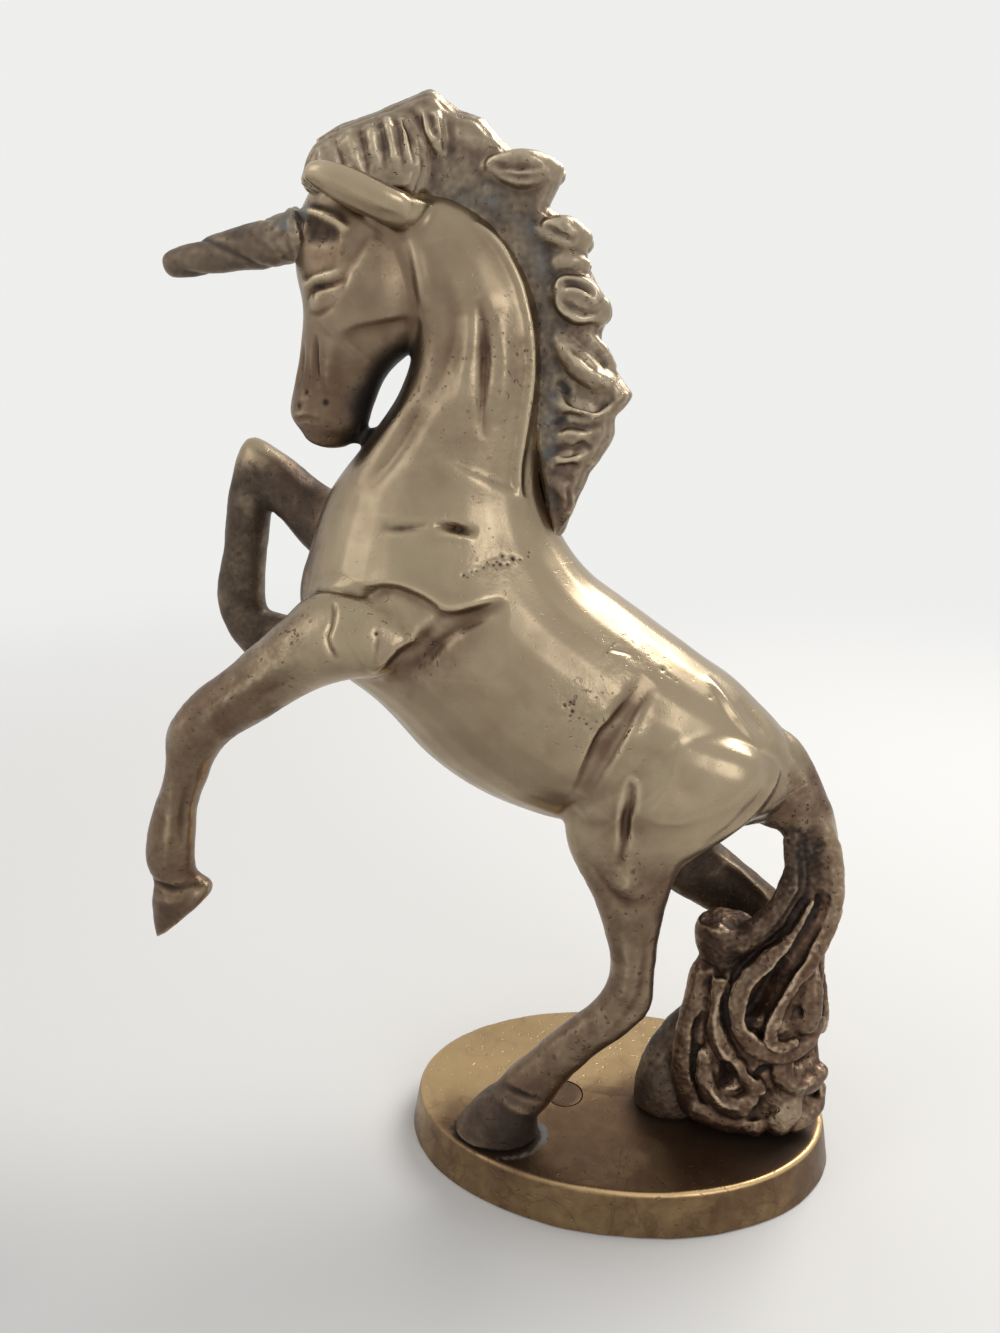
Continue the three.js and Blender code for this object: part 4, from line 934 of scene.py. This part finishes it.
mane_grooves = [
    (0.8, 0.9, [(-39.6, 258.9), (-33.1, 258.3), (-25.6, 258.6)]),
    (0.7, 0.7, [(-37.4, 256.9), (-32.2, 255.9), (-26, 256.4)]),
    (0.8, 0.9, [(-27, 246), (-21.8, 243.7), (-17.4, 241.9)]),
    (0.9, 1.0, [(-23.4, 233), (-20.4, 233.9), (-16.4, 232.8), (-13, 229.8)]),
    (0.9, 1.1, [(-22.6, 230), (-19.2, 228), (-15.4, 226.5), (-11.6, 226.3)]),
    (1.1, 1.7, [(-23, 211.2), (-19, 209), (-15, 207.4), (-11, 206.7), (-7.6, 206.7)]),
    (0.8, 0.8, [(-18.4, 220.8), (-15.2, 217.4), (-11.6, 214.6)]),
    (0.9, 1.1, [(-23, 194.8), (-18.6, 195.2), (-12.4, 194.9)]),
    (0.9, 1.0, [(-23.8, 189.2), (-19.6, 188.8), (-15.4, 189.4)]),
    (0.9, 0.9, [(-18, 187), (-17.2, 182.6), (-18.4, 178)]),
    (1.0, 1.0, [(-24.6, 201.4), (-19, 201.6), (-13, 201)]),
    (0.9, 1.1, [(-53.6, 273.4), (-52.1, 268), (-51.2, 264)]),
    (1.0, 0.7, [(-76, 268.4), (-74, 262), (-72.4, 255.6)]),
    (0.9, 0.6, [(-70, 270.4), (-68.4, 264), (-67, 257)]),
    (1.0, 0.8, [(-65.6, 271.8), (-64, 266), (-62.8, 258)]),
    (0.9, 0.7, [(-61.6, 272.8), (-60, 267), (-58.8, 259)]),
    (1.0, 0.9, [(-57.8, 273.6), (-56.2, 268), (-55.2, 260)]),
    (1.6, 0.9, [(-47.6, 271), (-47, 265), (-47.6, 259)]),
]
mane_margin = [
    (-54, -7, 252.6), (-45, -7, 252), (-37.8, -7, 252.6), (-31.4, -7, 247), (-28.6, -7, 241),
    (-26, -7, 234), (-25, -7, 224), (-24.4, -7, 214), (-24, -7, 206), (-24.4, -7, 199), (-26, -7, 192),
    (-26, -7, 184), (-24.4, -7, 177),
]


def add_slab(bm, outline, half):
    """A flat plate with the given outline in x and z, as far on both sides of the middle."""
    ring = [bm.verts.new((x, -half, z)) for x, z in outline]
    face = bmesh.ops.contextual_create(bm, geom=ring)["faces"]
    grown = bmesh.ops.extrude_face_region(bm, geom=face, use_keep_orig=True)["geom"]
    far = [part for part in grown if isinstance(part, bmesh.types.BMVert)]
    bmesh.ops.translate(bm, vec=(0, 2 * half, 0), verts=far)


def inset(outline, depth):
    """The same outline, smaller by a depth all round."""
    ring = np.array(outline)
    along = np.roll(ring, -1, 0) - np.roll(ring, 1, 0)
    inward = np.stack([along[:, 1], -along[:, 0]], 1)
    return ring + inward / np.linalg.norm(inward, axis=1, keepdims=True) * depth


mane_bm = bmesh.new()
for depth, half in ((0, 2.2), (0.9, 3.9), (2.2, 5.4)):
    add_slab(mane_bm, inset(mane_outline, depth), half)
for depth, half in ((1.4, 6.4), (2.8, 7.6), (4.4, 8.4)):
    add_slab(mane_bm, inset(forelock_outline, depth), half)
for rows in mane_locks:
    add_lock(mane_bm, rows, flat=0.72)
    add_lock(mane_bm, rows, side=-1, flat=0.72)
mane = cast(as_object(mane_bm, "mane"), grain=0.42)
mane_clay = Clay(mane)
mane_clay.smooth(9)
mane_clay.feel()
for width, height, route in mane_ridges:
    mane_clay.press(width, height, [(x, -9, z) for x, z in route], fade=0.25)
mane_clay.feel()
for width, depth, route in mane_grooves:
    mane_clay.press(width, -depth, [(x, -9, z) for x, z in route], fade=0.3)
mane_clay.smooth(2)
flatness = np.clip(np.abs(mane_clay.ways[:, 1]) * 4 - 3, 0, 1)
web_share = np.clip((6.8 - np.abs(mane_clay.points[:, 1])) / 1.6, 0, 1) * flatness
mane_clay.rough += 0.35
mane_clay.brown += 0.45 + 0.3 * np.clip((200 - mane_clay.points[:, 2]) / 15, 0, 1)
mane_clay.brown += 0.25 * web_share
mane_clay.black += 0.14 + 0.26 * web_share
mane_clay.stain(mane_clay.black, [(place, 4.2, 0.16) for place in through(mane_margin, 3)])
mane_clay.stain(mane_clay.crust, [(place, 4.0, 0.2) for place in through(mane_margin, 3)])
mane_clay.black = np.minimum(mane_clay.black, 0.6)
mane_clay.feel()
mane_clay.lumps(4.5, 0.35)
mane_clay.lumps(1.4, 0.08)
mane_clay.keep()
mane_clay.painted["hollow_and_shade"] *= 0.9
mane = saw(mane, castings["head_and_neck"], "DIFFERENCE")
mane = saw(mane, castings["torso"], "DIFFERENCE")
take_paint(mane, mane_clay)
hair_brass = aged_brass("hair_brass", (0.37, 0.305, 0.215), (0.15, 0.1, 0.07), (0.034, 0.032, 0.032),
                        shine=0.3, pitting=0.00015)
mount(mane, "mane_casting", "mane", hair_brass)

# Tail
# A heavy casting that leaves the croup, drops in twisted strands and spreads into curls on the base
# plate, where it is the figure's second foot. Its recesses keep the black of the casting.
tail_core = [
    (34, 124, 24, 104, 0, 6), (44, 118, 33, 95, 0, 6.5), (52, 104, 41, 91, 0, 6),
    (56, 91, 43.5, 82, -1, 5.8), (57.4, 76, 42.5, 71, -2, 6.4), (56, 65, 36.4, 62, -3, 7.2),
    (54, 56, 27, 54, -4, 8.2), (53.6, 46, 23, 44, -5, 8.8), (55, 36, 21, 34, -5, 9.4),
    (56.8, 22, 19.6, 20, -5, 10), (56.8, 10, 20, 8, -4, 10.4), (54.5, -2, 21, -2, -3, 10),
]
tail_stump = [
    (21.5, 44, 33, 43, -5, 5.6), (21.4, 50, 34, 50, -5, 5.6), (20.6, 54, 35.4, 55, -5, 6),
    (19.2, 58, 36.4, 59.5, -5, 6.8), (19, 62, 36.4, 63.2, -5, 6.8), (19.8, 65, 35, 66.4, -5, 6.4),
]
tail_locks = [
    # Outer strand from the croup, pale with a painted highlight along its back, which thins to an edge and
    # hooks round
    [(46.4, -3, 101, 2.4), (50, -4, 96.6, 3.2), (53.8, -4.6, 89, 3), (56, -5.6, 80, 2.7),
     (56, -7, 71.5, 2.6), (53, -9.4, 63, 2.6), (48.2, -12, 54.4, 2.4), (43.8, -14, 46.4, 2),
     (40.6, -15.6, 39.6, 1.7), (40.8, -16.4, 35, 1.7), (44, -16.4, 33, 1.7), (47.2, -15.8, 34.6, 1.5)],
    # Middle strand, broad and pitted, round the outside of the hook
    [(50, -9, 75, 1.2), (47.6, -10, 68.6, 1.9), (43, -11.4, 62.4, 2.5), (37.6, -12.6, 57.2, 2.9),
     (33, -13.8, 51.6, 3), (31, -14.6, 45.6, 3.1), (31.8, -15.2, 39.6, 3.3), (35.4, -15.8, 33.6, 3.2),
     (41, -15.8, 30.2, 2.8), (47, -14.8, 30.6, 2.5), (51.8, -12.4, 33.6, 2.2), (55.2, -9.6, 38.6, 1.8)],
    # Dark inner strand that sweeps down to the stump
    [(44, -5, 92, 3), (45, -6.2, 82, 3.4), (42.4, -7.4, 73, 3.7), (37, -8.4, 66, 4), (31, -8.8, 61, 4)],
    # Pointed leaf at the right, with its bright edge
    [(54, -5, 59, 1), (52.8, -7.6, 53, 2.8), (51.4, -10, 45, 4), (50.6, -11.4, 38.6, 4)],
    [(55, -5, 51, 1.2), (55.2, -6.6, 42, 2.4), (55.4, -6.6, 34, 2.6)],
    # Column down the left and the rim of the hole at its foot
    [(28, -8.6, 54, 1.6), (26.6, -11.2, 49, 2.8), (26, -12.4, 42, 3), (26.6, -13.6, 34, 3),
     (30, -14.8, 27.6, 2.8), (35.4, -15.6, 22, 3), (38, -16, 18, 3)],
    [(23, -13.6, 27, 2.4), (23.6, -14.4, 20, 2.9), (27.4, -15.4, 13.4, 3.2), (33.4, -16.2, 11.8, 3.4),
     (38, -16.2, 15.6, 3)],
    # Band and lumps at the right foot
    [(43.6, -15, 25.4, 2.4), (46.6, -14.6, 21, 3.2), (52, -12.4, 18.4, 3.2), (56.4, -9, 20.4, 2.8)],
    [(49.4, -13.6, 16, 2.2), (48, -14.2, 10.6, 3.8), (45, -14.2, 6, 4)],
    [(23, -12.4, 6.6, 3.8), (31, -14.2, 5.8, 3.9), (38.6, -14.4, 5, 3.6)],
    [(50, -12, 5, 3.6), (55.4, -8.4, 7.4, 3.4), (57, -6.4, 13, 2.6)],
    # Lumps at the left foot, and the mass behind them all
    [(23.4, -5, 54, 2.4), (22, -6.4, 48, 3.8), (20.8, -7.6, 39, 4.2), (19.6, -8.4, 28, 4.8),
     (19.6, -8.8, 17, 5.2), (21.6, -8.6, 6, 5)],
    [(28, -8, 48, 4.8), (28, -9.4, 34, 5.6), (30, -10.4, 20, 6.2), (31, -9.6, 6, 6)],
    [(42, -9, 46, 5), (44, -10, 34, 6), (46, -10, 20, 6.4), (45, -9.4, 6, 6)],
]
tail_bm = bmesh.new()
tail_bm.from_mesh(tail_stub.data)
add_casting(tail_bm, tail_core)
add_casting(tail_bm, tail_stump)
for rows in tail_locks:
    add_lock(tail_bm, rows, flat=0.85)
tail = cast(as_object(tail_bm, "tail"), grain=0.42)
tail_clay = Clay(tail, both=False)
tail_clay.smooth(8)
tail_clay.feel()

# Recesses between the strands, from broad black ones to fine lines
for width, depth, route in (
    (1.6, 2.4, [(53, -8, 78), (51.6, -10, 72), (48.4, -12, 64.6), (44.4, -13, 58.4)]),
    (2.3, 3.8, [(45.6, -13, 60), (41.4, -14.4, 54), (38, -15.4, 47.6), (36.4, -16, 42.6), (37, -16.4, 38)]),
    (2.2, 1.2, [(48.6, -7, 97), (50.6, -8, 88), (51, -9, 80), (49, -9, 74)]),
    (0.8, 1.2, [(47, -8, 76), (43.6, -10, 67), (38, -11.6, 60.4), (31, -12.6, 55)]),
    (1.0, 0.6, [(45, -8.6, 90), (46.6, -9.4, 80), (43.4, -10.6, 71), (38, -12, 64.4)]),
    (1.0, 1.8, [(28.8, -14, 50), (28.4, -15, 42), (29.4, -16, 35), (34, -17, 28.6)]),
    (2.1, 4.2, [(28, -16, 27), (29.4, -17, 22), (31, -17, 17.4)]),
    (2.0, 3.4, [(38.6, -17, 8.4), (40.2, -17, 13.6), (42, -17, 18)]),
    (2.3, 3.8, [(48, -14.6, 26), (52, -13.6, 26), (56.6, -10, 26.8)]),
    (2.0, 3.0, [(53.6, -12, 13.6), (57.4, -10, 13.6)]),
    (1.0, 1.4, [(49, -13, 53), (47.4, -14, 46), (47, -15, 41)]),
    (1.1, 1.4, [(22.4, -12, 50), (21.6, -13, 39), (20.6, -13.4, 29), (21.4, -13.4, 19), (24.6, -13, 9)]),
    (1.1, 2.0, [(20, -10, 52.6), (26, -12.4, 52.6), (32, -13, 54)]),
    (0.9, 1.4, [(41.4, -16, 25), (38.4, -17, 24), (36, -17.4, 27)]),
):
    tail_clay.press(width, -depth, route, power=2.4, fade=0.25)
tail_clay.swell((43.6, -16.4, 38.6), 2.8, 1.4)
tail_clay.feel()
tail_clay.swell((43.6, -18, 38.6), 1.1, -2.4)
tail_clay.swell((30, -8, 67), 3.6, -0.9)
tail_clay.swell((25.4, -9, 66), 2.2, 0.9)
tail_clay.feel()
# Bright edges along the strands
for height, route in (
    (0.6, [(54.6, -9, 72), (50.2, -12, 61), (45.1, -15, 52.8), (40.4, -17, 43.6), (38.6, -18, 38),
           (40, -18, 34.2), (44, -18, 32.4)]),
    (0.6, [(49, -11, 73), (44.2, -13, 62.4), (38.6, -15, 56.4), (34.4, -17, 51), (33.6, -17.6, 45),
           (35, -18, 39.6), (39.4, -18.6, 34), (45.4, -17.6, 32.4)]),
    (0.6, [(25.9, -14, 48), (25.2, -15.4, 39), (26.8, -17, 31), (32.6, -18, 25)]),
    (0.6, [(24.4, -17, 19), (28.4, -18, 13.6), (34, -18.6, 13.2)]),
    (0.5, [(46, -17, 22.6), (50, -15.6, 19.8), (55, -12, 20.6)]),
):
    tail_clay.press(0.9, height, route, fade=0.25)
# The far side shows plain long furrows
for shift in (-9, -3, 3):
    tail_clay.press(1.3, -1.6, [(49 + shift * 0.3, 6, 90), (50 + shift * 0.3, 6, 74),
                                (44 + shift * 0.6, 6, 58), (40 + shift, 7, 40),
                                (40 + shift * 1.2, 7, 22), (41 + shift * 1.2, 7, 6)])
    tail_clay.press(1.2, -1.2, [(57, shift * 0.7, 88), (58, shift * 0.7, 72), (55, shift, 58),
                                (55, shift, 40), (57, shift, 22), (57, shift, 6)])
tail_clay.smooth(2)
hair_share = np.clip((104 - tail_clay.points[:, 2]) / 12, 0, 1)
tail_clay.rough += 0.5 + 0.2 * hair_share
tail_clay.brown += 0.45 + 0.45 * hair_share
tail_clay.black += 0.34 * hair_share
tail_clay.stain(tail_clay.black, [
    ((46, -8, 98), 6, 0.35), ((46, -8, 88), 6, 0.5), ((45, -8, 78), 6, 0.4), ((40, -9, 68), 7, 0.35),
    ((30, -11, 57), 7, 0.3), ((25, -6, 62), 8, 0.2), ((20, -9, 12), 9, 0.15),
])
# Painted highlight: lighter, less brown and less black patches down the back of the tail and on its foot
painted_highlight_places = [
    ((55, -3, 99), 5), ((58, -3, 93), 6), ((60, -4, 84), 6), ((60, -5, 74), 6), ((57, -7, 64), 4),
    ((58, -6, 36), 5), ((47, -17, 10), 5),
]
tail_clay.stain(tail_clay.black, [(place, radius, -0.5) for place, radius in painted_highlight_places])
tail_clay.stain(tail_clay.brown, [(place, radius, -0.55) for place, radius in painted_highlight_places])
tail_clay.feel()
tail_clay.tuck()
tail_clay.lumps(4.5, 0.45, hair_share)
tail_clay.lumps(1.4, 0.16, hair_share)
tail_clay.keep()
# Beside the croup the colours of the croup run on
dock_bottom = 94
near_dock = np.flatnonzero(tail_clay.points[:, 2] > dock_bottom)
share = np.clip((tail_clay.points[near_dock, 2] - dock_bottom) / 8, 0, 1)
nearest = [figure_clay.tree.find(point)[1] for point in tail_clay.points[near_dock]]
for paint, values in tail_clay.painted.items():
    values[near_dock] += (figure_clay.painted[paint][nearest] - values[near_dock]) * share
tail = saw(tail, half_space((0, 0, 0), (0, 0, 1)), "INTERSECT")
for neighbour in ("hindquarters", "far_hind_leg"):
    tail = saw(tail, castings[neighbour], "DIFFERENCE")
take_paint(tail, tail_clay)
tail_brass = aged_brass("tail_brass", (0.35, 0.265, 0.18), (0.115, 0.066, 0.043), (0.016, 0.011, 0.009),
                        shine=0.3, pitting=0.00015)
mount(tail, "tail_casting", "tail", tail_brass)

# Horn
# A blunt cone with two slow twists and a lumpy collar, pinned into the forehead. It is left as cast.
horn_root = Vector((-86, -1.5, 245.5))
horn_way = Vector((-0.98, -0.1, -0.2)).normalized()
horn_rows = [(-6, 5), (-1.5, 5.4), (0, 6.6), (1.6, 6.7), (3, 5.9), (6, 5.7), (11, 5.5), (17, 4.9), (23, 4.5),
             (29, 3.9), (33.5, 3.1)]
horn_turn = horn_way.to_track_quat("Z", "Y").to_matrix().to_4x4()
horn_place = Matrix.Translation(horn_root) @ horn_turn
horn_frames = [horn_place @ Matrix.Translation((0, 0, along)) @ Matrix.Diagonal((half, half, 1, 1))
               for along, half in through(horn_rows, 3)]
horn_bm = bmesh.new()
add_loft(horn_bm, round_end(horn_frames, 2.6))
horn = cast(as_object(horn_bm, "horn"), grain=0.38)
horn_clay = Clay(horn, both=False)
horn_clay.smooth(4)
horn_clay.feel()
twist_start, twist_end, twist_steps = 5, 33, 8
for start_angle in (40, 220):
    route = []
    for step in range(twist_steps + 1):
        along = twist_start + (twist_end - twist_start) * step / twist_steps
        angle = math.radians(start_angle + 300 * step / twist_steps)
        around = Vector((math.cos(angle), math.sin(angle), 0)) * 5
        route.append(tuple(horn_root + horn_turn @ (around + Vector((0, 0, along)))))
    horn_clay.press(1.2, -0.6, route, fade=0.15)
collar_middle = np.array(horn_root + horn_way * 1.5)
collar_share = np.exp(-np.linalg.norm(horn_clay.points - collar_middle, axis=1) ** 2 / 60)
horn_clay.rough += 0.3 + collar_share * 0.4
horn_clay.brown += 0.8 - collar_share * 0.4
horn_clay.black += 0.58 - collar_share * 0.35
horn_clay.feel()
horn_clay.lumps(7, 0.45)
horn_clay.lumps(1.8, 0.08)
horn_clay.lumps(2.0, 0.7, collar_share)
horn_clay.crust += collar_share * 0.9 * (horn_clay.points[:, 2] > 246)
horn_clay.keep()
horn = saw(horn, castings["head_and_neck"], "DIFFERENCE")
take_paint(horn, horn_clay)
mount(horn, "horn_casting", "horn", hair_brass)

# The figure's castings go to their places now that nothing more is cut with them
for name, piece in castings.items():
    mount(piece, name + "_casting", name, body_brass)

# Base plate
# An oval plate cast hollow from below, with drafted sides and a worn round edge that carries a painted
# highlight at the front right. Two screws and the plug pass through it. Its top carries painted reflection
# and shade: golden towards the back left, and brown to dark towards the front right and round the feet.
base_half = Vector((61.5, 40))
base_flare = 2
base_edge = 1.5
foot_edge = 0.4
base_height = (plate_high.z - plate_low.z) * 1000
rim_wall = 5
tray_height = 6
base_middle = -1


def base_oval(inward, height):
    """An oval that lies a given way inside the top edge, at a height above the plate's top."""
    size = Matrix.Diagonal((base_half.x - inward, base_half.y - inward, 1, 1))
    return Matrix.Translation((base_middle, 0, height)) @ size


base_frames = [
    base_oval(base_half.y - 2, tray_height - base_height), base_oval(rim_wall, tray_height - base_height),
    base_oval(rim_wall - base_flare, -base_height), base_oval(foot_edge - base_flare, -base_height),
]
for rise in (0, 0.2, 0.4, 0.6, 0.8, 1):
    height = -base_height + foot_edge + (base_height - base_edge - foot_edge) * rise
    base_frames.append(base_oval(-base_flare * (1 - rise), height))
for degrees in (15, 30, 45, 60, 75, 90):
    turn = math.radians(degrees)
    base_frames.append(base_oval(base_edge * (1 - math.cos(turn)), base_edge * (math.sin(turn) - 1)))
for inward in range(3, 39):
    base_frames.append(base_oval(inward, 0))
base_bm = bmesh.new()
add_loft(base_bm, base_frames, around=192)
base = as_object(base_bm, "base")


def drill(piece, x, y, bottom, top, half):
    """Bores a round hole through a piece."""
    bm = bmesh.new()
    bmesh.ops.create_cone(bm, cap_ends=True, segments=48, radius1=half, radius2=half, depth=top - bottom,
                          matrix=Matrix.Translation((x, y, (top + bottom) / 2)))
    return saw(piece, as_object(bm, "drill"), "DIFFERENCE")


hole_gap = 0.3
plug_half = 5.5
screw_half = 2
plug_place = (-17, -3)
screw_places = ((-31, -20), (42, -4))
base_clay = Clay(base, both=False)
base_clay.lumps(16, 0.25)
base_clay.lumps(5, 0.12)
base_points = base_clay.points
x, y, z = base_points.T
z[:] = np.maximum(z, -base_height)
on_top = np.clip(1 + z / 0.6, 0, 1)
oval_share = np.hypot((x - base_middle) / base_half.x, y / base_half.y)
base_clay.brown += (1 - on_top) * 0.62
# Painted reflection and shade: the top turns brown and dark towards the front right, and browner round the
# feet
shade = np.clip(0.5 + (-6 - y + 0.35 * (x + 25)) / 14, 0, 1)
base_clay.brown += on_top * (0.1 + 0.75 * shade)
base_clay.black += on_top * shade * 0.3 + (1 - on_top) * 0.15
base_clay.stain(base_clay.brown, [((-35, -22, 0), 12, 0.4), ((38, -6, 0), 30, 0.4), ((-50, -10, 0), 7, 0.4)])
# The foot of the near hind leg is an oval of this middle and size. A pale residue lies round it
foot_middle = (-35.7, -21.6)
foot_half = (12.3, 8.7)
hoof_reach = np.hypot((x - foot_middle[0]) / foot_half[0], (y - foot_middle[1]) / foot_half[1])
residue = np.exp(-((hoof_reach - 1.16) / 0.14) ** 2)
base_clay.crust += on_top * residue * np.clip(0.3 + (x - y + 14) / 26, 0, 0.7)
base_clay.rough += 0.25 + (1 - on_top) * 0.2
base_clay.keep()
base_clay.painted["hollow_and_shade"] *= 0.2
# Painted shade on the flat top: dark under and close round the near hind hoof, and round the tail's foot and
# the far hind hoof
base_clay.painted["hollow_and_shade"] += on_top * (hoof_reach < 1.06)
for place, radius in (((40, -5, 0), 23), ((14, -3, 0), 12)):
    apart = np.linalg.norm(base_points - np.array(place), axis=1)
    base_clay.painted["hollow_and_shade"] += on_top * 0.8 * np.exp(-(apart / radius) ** 4)
# The rim's edge is rubbed bright, with a painted highlight that is kept to the front right
edge_share = np.exp(-((oval_share - 0.985) / 0.013) ** 2) * np.exp(-((z + 0.4) / 0.8) ** 2)
front_right = np.clip(0.35 + (x - y - 20) / 60, 0.25, 1)
base_clay.painted["worn_and_glint"] = np.clip(edge_share * 1.6 * front_right, 0, 1)
base = drill(base, *plug_place, -base_height - 1, 1, plug_half + hole_gap)
for place in screw_places:
    base = drill(base, *place, -base_height - 1, 1, screw_half + hole_gap)
take_paint(base, base_clay)
base_brass = aged_brass("base_brass", (0.47, 0.325, 0.165), (0.12, 0.07, 0.04), (0.028, 0.019, 0.013),
                        shine=0.27, pitting=0.0001, tide=0.12)
mount(base, "base_plate_casting", "base_plate", base_brass)

# Plug
# A round brass plug, driven into the hole in the plate's top and filed flush.
plug_bottom = tray_height - base_height
plug_rows = [
    (plug_half - 0.4, plug_bottom), (plug_half, plug_bottom + 0.4), (plug_half, -0.3),
    (plug_half - 0.05, -0.12), (plug_half - 0.2, -0.05), (plug_half - 2, -0.05), (plug_half - 4, -0.05),
]
plug_frames = [Matrix.Translation((*plug_place, height)) @ Matrix.Diagonal((half, half, 1, 1))
               for half, height in plug_rows]
plug_bm = bmesh.new()
add_loft(plug_bm, plug_frames, around=64)
plug = as_object(plug_bm, "plug")
plug_clay = Clay(plug)
plug_clay.brown += 1.0
plug_clay.black += 0.5
plug_clay.rough += 0.4
plug_clay.keep()
plug_clay.painted["worn_and_glint"] *= 0.0
take_paint(plug, plug_clay)
mount(plug, "base_plug_filed", "base_plug", base_brass)

# Screws and washers
# Plain slotted steel screws with their washers, inside the hollow of the plate.
steel = Finish("screw_steel")
steel_smudge = steel.cloud(0.002, 4.0)
steel.give("Base Color", steel.blend(steel_smudge.between(0.4, 0.7), (0.5, 0.5, 0.49), (0.3, 0.25, 0.2)))
steel.give("Metallic", 1.0)
steel.give("Roughness", steel_smudge * 0.3 + 0.25)
for name in ("hoof_screw", "hoof_washer", "tail_screw", "tail_washer"):
    nodes[name].data.materials.clear()
    nodes[name].data.materials.append(steel.material)

# Spare shapes go
for shape in [thing for thing in bpy.context.scene.objects if thing.type == "MESH"]:
    if not body_of(shape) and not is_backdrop(shape):
        bpy.data.objects.remove(shape)
